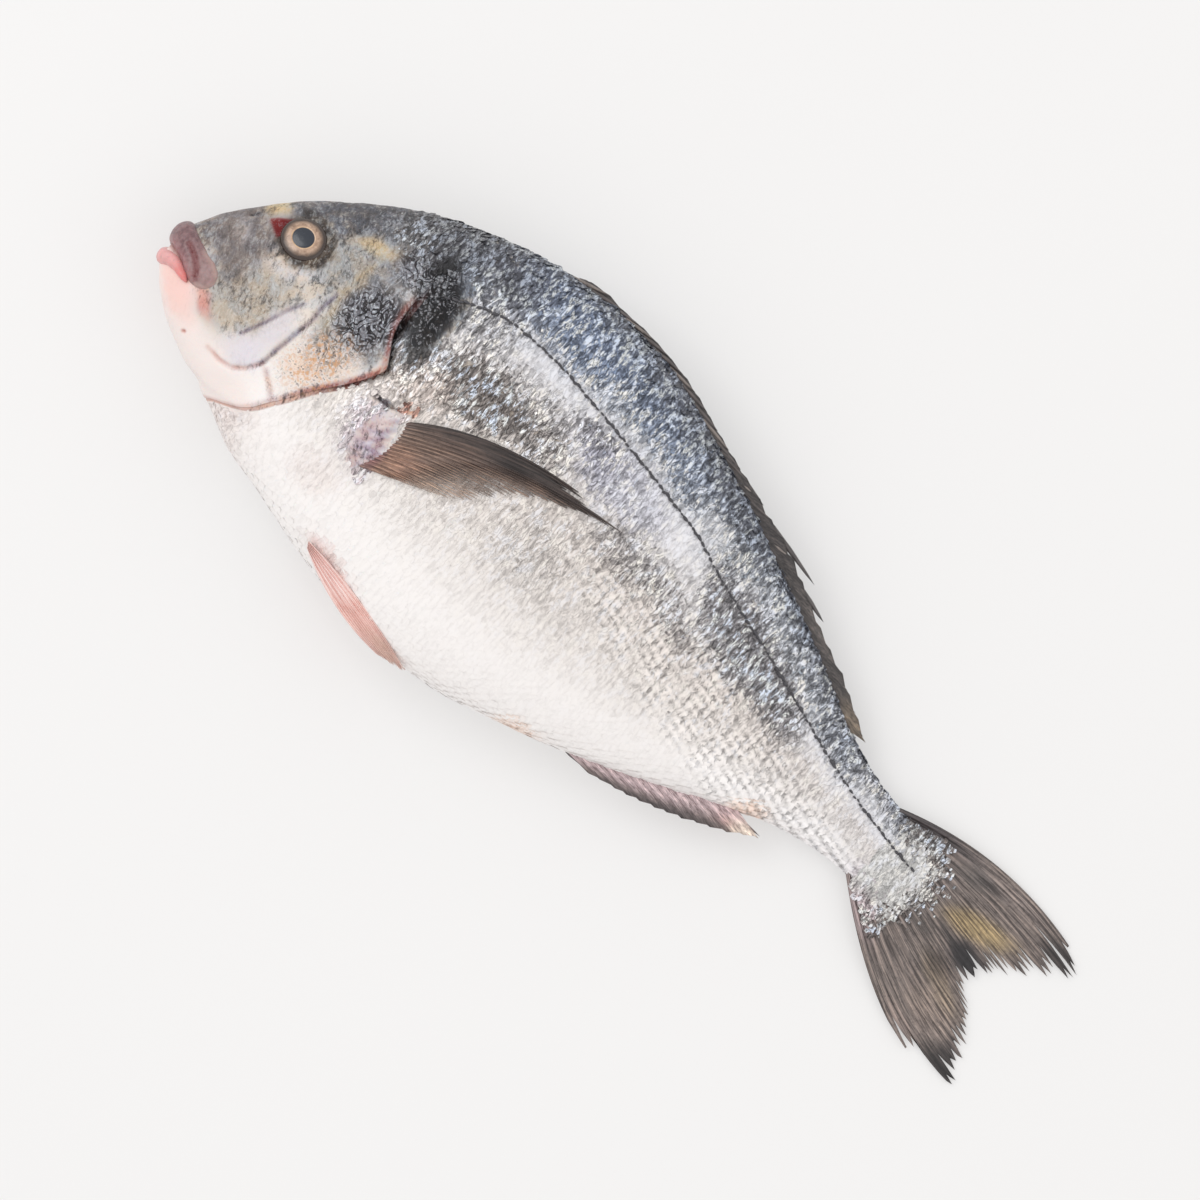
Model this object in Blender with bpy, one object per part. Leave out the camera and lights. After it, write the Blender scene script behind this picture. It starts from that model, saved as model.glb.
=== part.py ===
"""A whole gilthead sea bream as sold raw, lying on its right side.

Metres, +Z up. The fish's own length runs along X with the snout at -X and the tail at +X, its back
points to +Y and its left side faces up. The origin is on the table, under the middle of its box.
Lengths below are in millimetres on the fish's own grid, where x is the distance behind the lower
lip and y the height above the line of the mouth, and placed() turns them into metres.
"""

import math

import bmesh
import bpy
import numpy as np

MM = 0.001

# The grid's zero lies here from the middle of the box.
BOX_CENTRE_X = 155.9
BOX_CENTRE_Y = 16.5

# The side outline of the fleshy body, without fins: (x, y).
BACK = [(0.4, 11.6), (4, 18.6), (10, 27), (20, 38.3), (30, 46.5), (42, 55), (60, 63.3), (80, 69.4),
        (100, 71.7), (120, 70.2), (150, 61.6), (180, 50.0), (210, 36.8), (230, 27.4), (245, 23.3),
        (258, 22.3), (267, 20.8), (272, 17)]
BELLY = [(0.4, -0.8), (4, -4.9), (10, -9.8), (20, -15), (30, -19), (38, -21.6), (48, -26.2), (60, -28.9), (80, -34),
         (100, -37.5), (118, -38.6), (135, -36.8), (150, -32.8), (170, -26.4),
         (190, -18.5), (210, -9.6), (225, -3.6), (240, -0.3), (250, 0.1), (262, -0.4), (268, 1), (272, 4)]

# Half the thickness from side to side, and how high the fish's middle plane is before it settles.
HALF_WIDTH = [(0.4, 5.2), (4, 8.2), (10, 10.9), (20, 14.0), (32, 16.8), (48, 19.4), (66, 21.0),
              (90, 21.7), (115, 21.0), (140, 18.8), (165, 15.6), (195, 11.4), (220, 8.0), (242, 5.3),
              (256, 3.6), (266, 1.9), (272, 0.8)]
MIDDLE = [(-4, 18.6), (20, 19.6), (50, 20.6), (95, 21.0), (130, 20.0), (165, 17.0), (200, 12.4),
          (235, 7.4), (265, 3.8), (290, 1.6), (316, 0.5)]

# How far up the depth the body is widest, and how full its belly side is (2 is an ellipse).
WIDEST = [(0, 0.42), (30, 0.44), (70, 0.50), (120, 0.50), (200, 0.50), (272, 0.50)]
BACK_FULLNESS = 1.9
BELLY_FULLNESS = 2.25

# The rear edge of the gill cover: (y, x). It runs under the throat and ends below the nape.
GILL_EDGE = [(-26, 30), (-19.5, 36), (-17, 41.5), (-8.5, 49.5), (0, 55), (8, 61), (15, 65.2), (18, 66.3),
             (21, 64.8), (26, 61.8), (32, 60.2), (42, 60), (75, 60)]
GILL_STATION = 60.0
GILL_STEP = 1.3
GILL_GROOVE = 0.7
GILL_TOP_FADE = (30.0, 44.0)

EYE_PLACE = (26.4, 29.4)
EYE_RADIUS = 6.7
EYE_PROUD = 1.9
SOCKET_RADIUS = 8.6
SOCKET_DEPTH = 0.5

PECTORAL_BASE = (75.5, 2.0)
PECTORAL_BASE_RADII = (8.5, 10.5)
PECTORAL_BASE_BULGE = 1.3

# The fins are fans of rays: where each ray is rooted, where it bends to and where it ends, as rows of
# (share of the way across the fan, x, y), with every second line across the fan a thinner web.
TAIL_ROOTS = [(0, 246, 22.4), (0.25, 256, 18.5), (0.5, 258, 11), (0.75, 256, 4), (1, 248, 0.8)]
TAIL_BENDS = [(0, 280, 35.0), (0.25, 278, 17.5), (0.5, 274, 8.0), (0.75, 280, -5.5), (1, 282, -27.6)]
TAIL_TIPS = [(0, 313.8, 24), (0.1, 313.4, 20), (0.2, 308.5, 15.6), (0.35, 301, 9), (0.48, 292, 3.6),
             (0.55, 294, -0.2), (0.68, 301, -7), (0.8, 305.5, -13.2), (0.92, 308.2, -20), (1, 308, -23.6)]
TAIL_RAYS = 19
TAIL_HALF_THICKNESS = (1.35, 0.4)
TAIL_NOTCH = 0.075
TAIL_RIPPLE = (0.35, 0.42)

PECTORAL_ROOTS = [(0, 79.5, 11.0), (0.5, 79.5, 2.5), (1, 76.5, -6.8)]
PECTORAL_BENDS = [(0, 95.5, 27.4), (0.1, 104, 26.6), (0.5, 93, 10.5), (1, 84.5, -3.4)]
PECTORAL_TIPS = [(0, 128, 28.6), (0.09, 142.5, 27.9), (0.2, 134, 25.2), (0.34, 122, 20.2), (0.5, 113, 14),
                 (0.7, 109, 9.4), (0.85, 103, 4), (1, 92, -0.6)]
PECTORAL_RAYS = 13
PECTORAL_LIFT = 0.15

PELVIC_ROOTS = [(0, 82, -29.6), (1, 82, -34.6)]
PELVIC_BENDS = [(0, 101, -30.8), (0.5, 102, -36.0), (1, 100, -40.6)]
PELVIC_TIPS = [(0, 125, -38.8), (0.5, 121.5, -39.6), (1, 116, -40.4)]
PELVIC_RAYS = 4
PELVIC_OUT = 11.4
PELVIC_SLANT = 0.72
SIDE_FIN_NOTCH = 0.06

# The two fins folded down along the body: how far they reach out from it as (x, rise), how many rays
# step down along the rim, and how far back each ray lies.
DORSAL_SPAN = (84.0, 222.0)
DORSAL_TEETH = 23
DORSAL_LEAN = 8.0
DORSAL_RISE = [(84, 0.4), (97, 1.8), (102, 1.1), (112, 1.5), (130, 2.0), (150, 2.1), (165, 2.6), (180, 3.7),
               (195, 3.4), (225, 3.2), (232, 2.0)]
ANAL_SPAN = (168.0, 214.0)
ANAL_TEETH = 12
ANAL_LEAN = 11.0
ANAL_RISE = [(168, 0.8), (180, 3.4), (192, 5.6), (204, 7.0), (216, 6.8), (226, 4.8)]
WEB_SHARE = 0.78
FOLDED_SINK = 1.6
# Half thickness at shares of the way from the root to the rim.
FOLDED_THICKNESS = ((0.0, 1.5), (0.45, 1.1), (1.0, 0.35))

# Spine tips that stand free of the folded back fin: (x, y) where each leaves it and where it ends.
SPINE_TIPS = [((88, 71.2), (100, 72.8)), ((122, 70.2), (138, 67.3)), ((150, 61.8), (166, 58.9)),
              ((168, 57.2), (190.5, 52.2)), ((186, 49.8), (199, 46.4))]
SPINE_RADII = (0.9, 0.35)

# The lips as (x, y, distance from the middle plane, radius), from the snout back to the mouth's corner.
UPPER_LIP = [(0.9, 8.6, 0, 3.1), (1.6, 8.4, 3.4, 3.1), (4.2, 7.4, 6.9, 2.9), (8.0, 5.6, 9.2, 2.5),
             (11.6, 3.2, 10.6, 1.9), (14, 1.4, 11.2, 0.7)]
CHEEK_LOBE = [(2.6, 10.4, 5.0, 1.6), (6.6, 9.0, 7.9, 2.1), (10.6, 7.0, 10.0, 2.7), (13.8, 4.5, 11.1, 3.2),
              (15.8, 2.7, 11.4, 1.4)]
LOWER_LIP = [(1.1, 1.3, 0, 2.3), (1.8, 1.3, 2.8, 2.3), (4.6, 1.5, 6.0, 2.0), (8.6, 0.6, 8.6, 1.6),
             (12.0, -0.6, 10.5, 1.2), (14, -1.4, 11.0, 0.5)]
LIP_SIDES = 2

STATIONS = 58
AROUND = 44

# How softly the flesh gives where it meets the table, and the height shaved off to a flat spot.
SETTLE_SOFTNESS = 1.3
FLAT_CUT = 0.85


def spline(points):
    """A smooth curve through (place, value) pairs, as a function of place."""
    places, values = (np.array(column, float) for column in zip(*points))
    chords = np.diff(values) / np.diff(places)
    slopes = np.empty_like(values)
    slopes[0], slopes[-1] = chords[0], chords[-1]
    left, right = np.diff(places)[:-1], np.diff(places)[1:]
    slopes[1:-1] = (chords[:-1] * right + chords[1:] * left) / (left + right)

    def curve(place):
        place = np.clip(place, places[0], places[-1])
        k = np.clip(np.searchsorted(places, place) - 1, 0, len(places) - 2)
        span = places[k + 1] - places[k]
        t = (place - places[k]) / span
        return (
            (1 + 2 * t) * (1 - t) ** 2 * values[k]
            + t * (1 - t) ** 2 * span * slopes[k]
            + t * t * (3 - 2 * t) * values[k + 1]
            + t * t * (t - 1) * span * slopes[k + 1]
        )

    return curve


def smoothstep(low, high, value):
    t = np.clip((value - low) / (high - low), 0, 1)
    return t * t * (3 - 2 * t)


back, belly = spline(BACK), spline(BELLY)
half_width, middle, widest = spline(HALF_WIDTH), spline(MIDDLE), spline(WIDEST)
gill_edge = spline(GILL_EDGE)


def gill_bend(station):
    """How far the section at a station is swept towards the gill edge's shape, from 0 to 1."""
    return smoothstep(2, GILL_STATION, station) * (1 - smoothstep(GILL_STATION, 125, station))


def section_point(station, angle):
    """A point of the smooth body: angle 0 is the left flank, 90 degrees the ridge of the back."""
    rise, side = np.sin(angle), np.cos(angle)
    x = station + 0 * angle
    for _ in range(6):
        top, bottom = back(x), belly(x)
        wide = bottom + widest(x) * (top - bottom)
        reach = np.where(rise > 0, top - wide, wide - bottom)
        y = wide + reach * rise
        x = station + gill_bend(station) * (gill_edge(y) - GILL_STATION)
    fullness = np.where(rise > 0, BACK_FULLNESS, BELLY_FULLNESS)
    z = middle(x) + half_width(x) * np.sign(side) * np.abs(side) ** (2 / fullness)
    return np.stack([x, y, z], axis=-1)


def flank_height(x, y):
    """How far the skin stands out from the middle plane at a place on the side."""
    top, bottom = back(x), belly(x)
    wide = bottom + widest(x) * (top - bottom)
    rise = np.clip(np.where(y > wide, (y - wide) / (top - wide), (wide - y) / (wide - bottom)), 0, 0.999)
    fullness = np.where(y > wide, BACK_FULLNESS, BELLY_FULLNESS)
    return half_width(x) * np.sqrt(1 - rise**2) ** (2 / fullness)


def relief(points, stations):
    """How far the skin is raised (or sunk) at each point: gill cover, eye socket and fin root."""
    x, y, z = points[..., 0], points[..., 1], points[..., 2]
    open_gill = 1 - smoothstep(*GILL_TOP_FADE, y)
    ahead = smoothstep(22, GILL_STATION, stations) * (stations <= GILL_STATION)
    behind = (stations > GILL_STATION) * (1 - smoothstep(GILL_STATION, GILL_STATION + 7, stations))
    raised = GILL_STEP * ahead * open_gill - GILL_GROOVE * behind * open_gill
    on_side = smoothstep(2, 6, np.abs(z - middle(x)))
    from_eye = np.hypot(x - EYE_PLACE[0], y - EYE_PLACE[1])
    socket = np.exp(-((from_eye / SOCKET_RADIUS) ** 4)) * on_side
    root = np.hypot((x - PECTORAL_BASE[0]) / PECTORAL_BASE_RADII[0],
                    (y - PECTORAL_BASE[1]) / PECTORAL_BASE_RADII[1])
    bulge = np.exp(-((root * 1.1) ** 4)) * on_side
    return raised - SOCKET_DEPTH * socket + PECTORAL_BASE_BULGE * bulge


def placed(points):
    """Millimetres on the fish's grid to metres in the frame, with the flesh settled on the table."""
    x, y, z = np.moveaxis(np.asarray(points, float), -1, 0)
    soft = 0.5 * (z + np.sqrt(z * z + 4 * SETTLE_SOFTNESS**2))
    return np.stack([x - BOX_CENTRE_X, y - BOX_CENTRE_Y, soft - FLAT_CUT], axis=-1) * MM


def colour_material(name, colour, roughness, metallic=0.0):
    material = bpy.data.materials.new(name)
    material.use_nodes = True
    shader = material.node_tree.nodes["Principled BSDF"]
    shader.inputs["Base Color"].default_value = (*colour, 1)
    shader.inputs["Roughness"].default_value = roughness
    shader.inputs["Metallic"].default_value = metallic
    return material


def grid_object(name, rings, collection):
    """A closed solid lofted through rings of points (in frame metres), capped at both ends."""
    mesh = bmesh.new()
    rows = [[mesh.verts.new(point) for point in ring] for ring in rings]
    count = len(rows[0])
    for first, second in zip(rows, rows[1:]):
        for k in range(count):
            n = (k + 1) % count
            mesh.faces.new((first[k], first[n], second[n], second[k]))
    mesh.faces.new(rows[0][::-1])
    mesh.faces.new(rows[-1])
    bmesh.ops.triangulate(mesh, faces=[face for face in mesh.faces if len(face.verts) > 4])
    bmesh.ops.recalc_face_normals(mesh, faces=mesh.faces)
    data = bpy.data.meshes.new(name)
    mesh.to_mesh(data)
    mesh.free()
    made = bpy.data.objects.new(name, data)
    collection.objects.link(made)
    return made


def make_body(collection):
    """The fleshy body from the mouth to the root of the tail, its stations closest at the gill edge."""
    spacing = np.linspace(0, 1, STATIONS)
    stations = 0.4 + (272 - 0.4) * (0.72 * spacing + 0.28 * spacing**2)
    nearest = np.argmin(np.abs(stations - GILL_STATION))
    stations[nearest] = GILL_STATION
    stations = np.insert(stations, nearest + 1, GILL_STATION + 0.45)
    angles = np.linspace(0, 2 * np.pi, AROUND, endpoint=False)
    station_grid, angle_grid = np.meshgrid(stations, angles, indexing="ij")
    points = section_point(station_grid, angle_grid)
    along = np.gradient(points, axis=0)
    around = (np.roll(points, -1, axis=1) - np.roll(points, 1, axis=1)) / 2
    normals = np.cross(around, along)
    normals /= np.linalg.norm(normals, axis=-1, keepdims=True)
    points += normals * relief(points, station_grid)[..., None]
    return grid_object("body", placed(points), collection)


def bezier(start, bend, end, t):
    """A ray's line from start to end, bent towards the middle control point."""
    t = t[..., None]
    return (1 - t) ** 2 * start + 2 * t * (1 - t) * bend + t**2 * end


def fin_solid(name, roots, bends, tips, height, thickness, rays, steps, notch, collection):
    """A thin fan of rays. roots, bends and tips give (x, y) across the fan from 0 to 1, height gives z,
    and thickness the half thickness. Every second column is the membrane, thinner and cut back."""
    columns = 2 * rays + 1
    across = np.linspace(0, 1, columns)
    is_membrane = np.arange(columns) % 2 == 1
    reach = np.where(is_membrane, 1 - notch, 1.0)
    rings = []
    for k, f in enumerate(across):
        t = np.linspace(0, reach[k], steps)
        root, bend, tip = (np.array([axis(f) for axis in pair]) for pair in (roots, bends, tips))
        line = bezier(root, bend, tip, t)
        z = height(line[:, 0], line[:, 1])
        half = thickness(t) * (0.72 if is_membrane[k] else 1.0)
        upper = np.column_stack([line, z + half])
        lower = np.column_stack([line, z - half])
        rings.append(np.concatenate([upper, lower[::-1]]))
    return grid_object(name, placed(rings), collection)


def fan(table):
    """The x and y curves across a fan, from rows of (share across, x, y)."""
    return spline([(row[0], row[1]) for row in table]), spline([(row[0], row[2]) for row in table])


def make_tail(collection):
    """The forked tail fin, which droops from the tail's root until its tips nearly meet the table."""
    root_half, tip_half = TAIL_HALF_THICKNESS
    return fin_solid(
        "tail_fin", fan(TAIL_ROOTS), fan(TAIL_BENDS), fan(TAIL_TIPS),
        height=lambda x, y: middle(x) + TAIL_RIPPLE[0] * np.sin(TAIL_RIPPLE[1] * y),
        thickness=lambda t: root_half + (tip_half - root_half) * smoothstep(0, 0.55, t),
        rays=TAIL_RAYS, steps=8, notch=TAIL_NOTCH, collection=collection,
    )


def make_folded_fin(name, span, teeth, lean, rise, edge, outward, collection):
    """A fin laid back along its edge of the body: a thin ridge whose rim steps down behind each ray."""
    steps_per_tooth = 2
    places = np.linspace(*span, teeth * steps_per_tooth + 1)
    rise = spline(rise)
    rings = []
    for k, x in enumerate(places):
        tooth = 1.0 if k % steps_per_tooth == 0 else WEB_SHARE
        root = np.array([x, edge(x) - outward * FOLDED_SINK])
        tip_x = x + lean * (0.35 + 0.65 * tooth)
        tip = np.array([tip_x, edge(tip_x) + outward * rise(tip_x) * tooth])
        centre = middle(x)
        left = [(*(root + (tip - root) * share), centre + half) for share, half in FOLDED_THICKNESS]
        right = [(*(root + (tip - root) * share), centre - half) for share, half in FOLDED_THICKNESS]
        rings.append(np.array(left + right[::-1]))
    return grid_object(name, placed(rings), collection)


def side_fin(name, side, tables, out, thickness, rays, steps, collection):
    """A fin that lies along one flank, out from the middle plane by what the out function gives.
    side is +1 for the left, which faces up, and -1 for the right."""
    return fin_solid(
        name, *(fan(table) for table in tables),
        height=lambda x, y: middle(x) + side * out(x, y),
        thickness=thickness, rays=rays, steps=steps, notch=SIDE_FIN_NOTCH, collection=collection,
    )


def make_side_fins(collection):
    """The paired fins: pectorals on the flanks and pelvics folded back under the belly."""
    for label, side in (("left", 1), ("right", -1)):
        side_fin(
            f"pectoral_{label}", side, (PECTORAL_ROOTS, PECTORAL_BENDS, PECTORAL_TIPS),
            out=lambda x, y: flank_height(x, y) + PECTORAL_LIFT,
            thickness=lambda t: 1.05 - 0.25 * t,
            rays=PECTORAL_RAYS, steps=9, collection=collection,
        )
        side_fin(
            f"pelvic_{label}", side, (PELVIC_ROOTS, PELVIC_BENDS, PELVIC_TIPS),
            out=lambda x, y: PELVIC_OUT + PELVIC_SLANT * (y - PELVIC_ROOTS[0][2]),
            thickness=lambda t: 1.25 - 0.6 * t,
            rays=PELVIC_RAYS, steps=8, collection=collection,
        )


def make_eyes(collection):
    """An eyeball on each side, most of it sunk in the head."""
    stand = flank_height(*EYE_PLACE) - SOCKET_DEPTH
    for label, side in (("left", 1), ("right", -1)):
        bpy.ops.mesh.primitive_uv_sphere_add(segments=20, ring_count=10, radius=1.0)
        eye = bpy.context.object
        eye.name = f"eye_{label}"
        for users in list(eye.users_collection):
            users.objects.unlink(eye)
        collection.objects.link(eye)
        centre = np.array([*EYE_PLACE, middle(EYE_PLACE[0]) + side * (stand + EYE_PROUD - 4.2)])
        for vertex in eye.data.vertices:
            shape = np.array(vertex.co) * (EYE_RADIUS, EYE_RADIUS * 0.92, 4.2)
            vertex.co = placed(centre + shape)


def roll(name, points, collection):
    """A fleshy roll along a line of (x, y, z, radius) points, as a bevelled curve turned into a mesh."""
    curve = bpy.data.curves.new(name, "CURVE")
    curve.dimensions = "3D"
    curve.bevel_depth = 1.0
    curve.bevel_resolution = LIP_SIDES
    curve.use_fill_caps = True
    line = curve.splines.new("POLY")
    line.points.add(len(points) - 1)
    for point, (x, y, z, radius) in zip(line.points, points):
        point.co = (x, y, z, 1)
        point.radius = radius
    guide = bpy.data.objects.new(name + "_line", curve)
    collection.objects.link(guide)
    bpy.context.view_layer.update()
    graph = bpy.context.evaluated_depsgraph_get()
    data = bpy.data.meshes.new_from_object(guide.evaluated_get(graph))
    bpy.data.objects.remove(guide)
    mesh = bmesh.new()
    mesh.from_mesh(data)
    bmesh.ops.remove_doubles(mesh, verts=mesh.verts, dist=0.001)
    for vertex in mesh.verts:
        vertex.co = placed(vertex.co)
    bmesh.ops.recalc_face_normals(mesh, faces=mesh.faces)
    mesh.to_mesh(data)
    mesh.free()
    made = bpy.data.objects.new(name, data)
    collection.objects.link(made)
    return made


def lip_line(table, side):
    """Smooth points along a lip on one side, with z measured from the middle plane."""
    share = np.linspace(0, 1, len(table))
    curves = [spline(list(zip(share, column))) for column in zip(*table)]
    rows = [[curve(t) for curve in curves] for t in np.linspace(0, 1, 2 * len(table) - 1)]
    return [(x, y, middle(x) + side * out, radius) for x, y, out, radius in rows]


def make_mouth(collection):
    """Both lips run round the snout in one piece, and a lobe of the upper jaw lies on each cheek."""
    for name, table in (("upper_lip", UPPER_LIP), ("lower_lip", LOWER_LIP)):
        roll(name, lip_line(table, 1)[::-1] + lip_line(table, -1)[1:], collection)
    for label, side in (("left", 1), ("right", -1)):
        roll(f"cheek_lobe_{label}", lip_line(CHEEK_LOBE, side), collection)


def make_spine_tips(collection):
    """The free ends of the back fin's spines, each a tapering roll that starts inside the fin."""
    for k, (start, end) in enumerate(SPINE_TIPS):
        halfway = ((start[0] + end[0]) / 2, (start[1] + end[1]) / 2 + 0.3)
        radii = (SPINE_RADII[0], sum(SPINE_RADII) / 2, SPINE_RADII[1])
        line = [(x, y, middle(x), radius) for (x, y), radius in zip((start, halfway, end), radii)]
        roll(f"spine_tip_{k}", line, collection)


def applied(made):
    """Replaces an object's mesh by what its modifiers make of it."""
    graph = bpy.context.evaluated_depsgraph_get()
    data = bpy.data.meshes.new_from_object(made.evaluated_get(graph))
    made.modifiers.clear()
    made.data = data


def joined(body, pieces):
    """Fuses a collection of pieces with the body, as they are one fish, and clears the collection."""
    union = body.modifiers.new("fuse", "BOOLEAN")
    union.operation = "UNION"
    union.operand_type = "COLLECTION"
    union.collection = pieces
    union.solver = "MANIFOLD"
    bpy.context.view_layer.update()
    applied(body)
    for piece in list(pieces.objects):
        bpy.data.objects.remove(piece)
    bpy.data.collections.remove(pieces)


def cut_flat_spot(body, helpers):
    """Takes off what would sink into the table, which leaves the flat patch that the fish rests on."""
    bpy.ops.mesh.primitive_cube_add(size=1.0)
    table = bpy.context.object
    table.name = "table_cutter"
    for users in list(table.users_collection):
        users.objects.unlink(table)
    helpers.objects.link(table)
    for vertex in table.data.vertices:
        vertex.co.x *= 0.5
        vertex.co.y *= 0.3
        vertex.co.z = (vertex.co.z - 0.5) * 0.02
    cut = body.modifiers.new("flat_spot", "BOOLEAN")
    cut.operation = "DIFFERENCE"
    cut.object = table
    cut.solver = "EXACT"
    bpy.context.view_layer.update()
    applied(body)
    bpy.data.objects.remove(table)
    bpy.data.collections.remove(helpers)


def main():
    for old in list(bpy.data.objects):
        bpy.data.objects.remove(old)
    scene = bpy.context.scene.collection
    whole = bpy.data.collections.new("gilthead_sea_bream")
    pieces = bpy.data.collections.new("pieces_to_fuse")
    helpers = bpy.data.collections.new("helpers")
    for collection in (whole, pieces, helpers):
        scene.children.link(collection)
    body = make_body(whole)
    make_tail(pieces)
    make_folded_fin("dorsal_fin", DORSAL_SPAN, DORSAL_TEETH, DORSAL_LEAN, DORSAL_RISE, back, 1, pieces)
    make_folded_fin("anal_fin", ANAL_SPAN, ANAL_TEETH, ANAL_LEAN, ANAL_RISE, belly, -1, pieces)
    make_spine_tips(pieces)
    make_side_fins(pieces)
    make_eyes(pieces)
    make_mouth(pieces)
    joined(body, pieces)
    cut_flat_spot(body, helpers)
    body.name = "sea_bream"
    body.data.name = "sea_bream"
    body.data.materials.clear()
    body.data.materials.append(colour_material("silver_skin", (0.52, 0.53, 0.54), 0.35, 0.3))
    body.data.shade_smooth()
    body.data.set_sharp_from_angle(angle=math.radians(50))


main()
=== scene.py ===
import math

import bmesh
import bpy
import numpy as np
from mathutils import Matrix, Vector, noise


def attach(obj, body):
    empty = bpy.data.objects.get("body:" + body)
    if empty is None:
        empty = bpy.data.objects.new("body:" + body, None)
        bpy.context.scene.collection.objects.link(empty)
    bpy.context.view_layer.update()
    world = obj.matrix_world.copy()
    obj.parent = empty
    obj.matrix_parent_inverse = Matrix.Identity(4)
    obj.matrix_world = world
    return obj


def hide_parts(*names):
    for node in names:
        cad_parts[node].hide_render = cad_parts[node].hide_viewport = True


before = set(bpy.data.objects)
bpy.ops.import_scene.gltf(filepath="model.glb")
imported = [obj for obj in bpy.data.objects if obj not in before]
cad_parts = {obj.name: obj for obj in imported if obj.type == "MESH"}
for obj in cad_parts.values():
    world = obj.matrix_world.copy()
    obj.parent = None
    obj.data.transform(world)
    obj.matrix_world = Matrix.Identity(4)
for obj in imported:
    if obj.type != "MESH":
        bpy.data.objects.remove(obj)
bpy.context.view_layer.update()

# The skin over head and body: one closed shell of moist skin on firm flesh. It is lofted from the
# mouth to the root of the tail, and tucks in under the rear edge of the gill cover on each side.
# Lengths are millimetres on the fish's own grid: x behind the lower lip, y above the mouth's line.
MM = 0.001
BOX_CENTRE_X = 155.9
BOX_CENTRE_Y = 16.5
BACK = [(0.4, 11.6), (4, 18.6), (10, 27), (20, 38.3), (30, 46.5), (42, 55), (60, 63.3), (80, 69.4),
        (100, 71.7), (120, 70.2), (150, 61.6), (180, 50.0), (210, 36.8), (230, 27.4), (245, 23.3),
        (258, 22.3), (267, 20.8), (272, 17)]
BELLY = [(0.4, -0.8), (4, -4.9), (10, -9.8), (20, -15), (30, -19), (38, -21.6), (48, -26.2), (60, -28.9),
         (80, -34), (100, -37.5), (118, -38.6), (135, -36.8), (150, -32.8), (170, -26.4), (190, -18.5),
         (210, -9.6), (225, -3.6), (240, -0.3), (250, 0.1), (262, -0.4), (268, 1), (272, 4)]
HALF_WIDTH = [(0.4, 5.2), (4, 8.2), (10, 10.9), (20, 14.0), (32, 16.8), (48, 19.4), (66, 21.0),
              (90, 21.7), (115, 21.0), (140, 18.8), (165, 15.6), (195, 11.4), (220, 8.0), (242, 5.3),
              (256, 3.6), (266, 1.9), (272, 0.8)]
MIDDLE = [(-4, 18.6), (20, 19.6), (50, 20.6), (95, 21.0), (130, 20.0), (165, 17.0), (200, 12.4),
          (235, 7.4), (265, 3.8), (290, 1.6), (316, 0.5)]
WIDEST = [(0, 0.42), (30, 0.44), (70, 0.50), (120, 0.50), (200, 0.50), (272, 0.50)]
BACK_FULLNESS = 1.9
BELLY_FULLNESS = 2.25
GILL_EDGE = [(-26, 30), (-19.5, 36), (-17, 41.5), (-8.5, 49.5), (0, 55), (8, 61), (15, 65.2), (18, 66.3),
             (21, 64.8), (26, 61.8), (32, 60.2), (42, 60), (75, 60)]
GILL_STATION = 60.0
GILL_TOP_FADE = (30.0, 44.0)
SETTLE_SOFTNESS = 1.3
FLAT_CUT = 0.85
SKIN_SINK = 0.34
MOUTH_STATION = 0.4
TAIL_STATION = 272
HEAD_RINGS = 150
BODY_RINGS = 118
AROUND = 320
THINNED_ROOT = (258, 271)
THINNED_BY = 0.75
EYE_PLACE = (26.5, 29.3)
LATERAL_LINE = [(64, 42), (70, 45.5), (80, 49.3), (90, 50.3), (100, 50), (120, 47.5), (140, 44.3),
                (160, 40.3), (170, 36.7), (190, 31), (210, 24.8), (230, 18.8), (250, 14.5), (264, 12.5)]
CHEEK_GROOVE = [(38.3, 16.5), (36.2, 12), (34, 6), (31, -0.5)]
COVER_GROOVE = [(43.5, 24), (42.6, 18), (43, 15), (42, 8), (41, 2), (40.5, -3), (38, -7), (35, -9.3),
                (31, -10), (26.5, -9.4)]
COVER_SEAM = [(42.4, -3.4), (46, -6), (48.8, -8.6)]
# Grooves of the cheek and gill cover: path, depth, half width.
GROOVES = [(CHEEK_GROOVE, 0.5, 0.55), (COVER_GROOVE, 0.7, 0.6), (COVER_SEAM, 0.4, 0.45)]
# The nostril and a pore of the chin: centre, radii, turn in degrees, depth.
PITS = [((11.5, 26), (1.5, 0.5), 60, 0.8), ((18.7, -10.7), (0.5, 0.5), 0, 0.5)]
CREASES = [[(23.5, 20.5), (24.5, 22.5)], [(12.5, 19), (13, 17)], [(20, 17), (19, 12)]]
FIN_POCKET = [(69, 10.6), (72.5, 12.4), (76.5, 11.8)]
# Where the skin is crumpled, on the gill cover and behind it: centre, radii, turn in degrees.
CRUMPLED = [((53, 24), (9, 13), -10), ((64, 40), (8, 14), 5)]
CHEEK_LOBE = ((35.5, 1), (7.5, 12), -8)
EYE_SOCKET = ((27.1, 29.4), (7.4, 6.4), 8)
FIN_ROOT = ((75.5, 2.0), (8.5, 10.5), 0)
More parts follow.
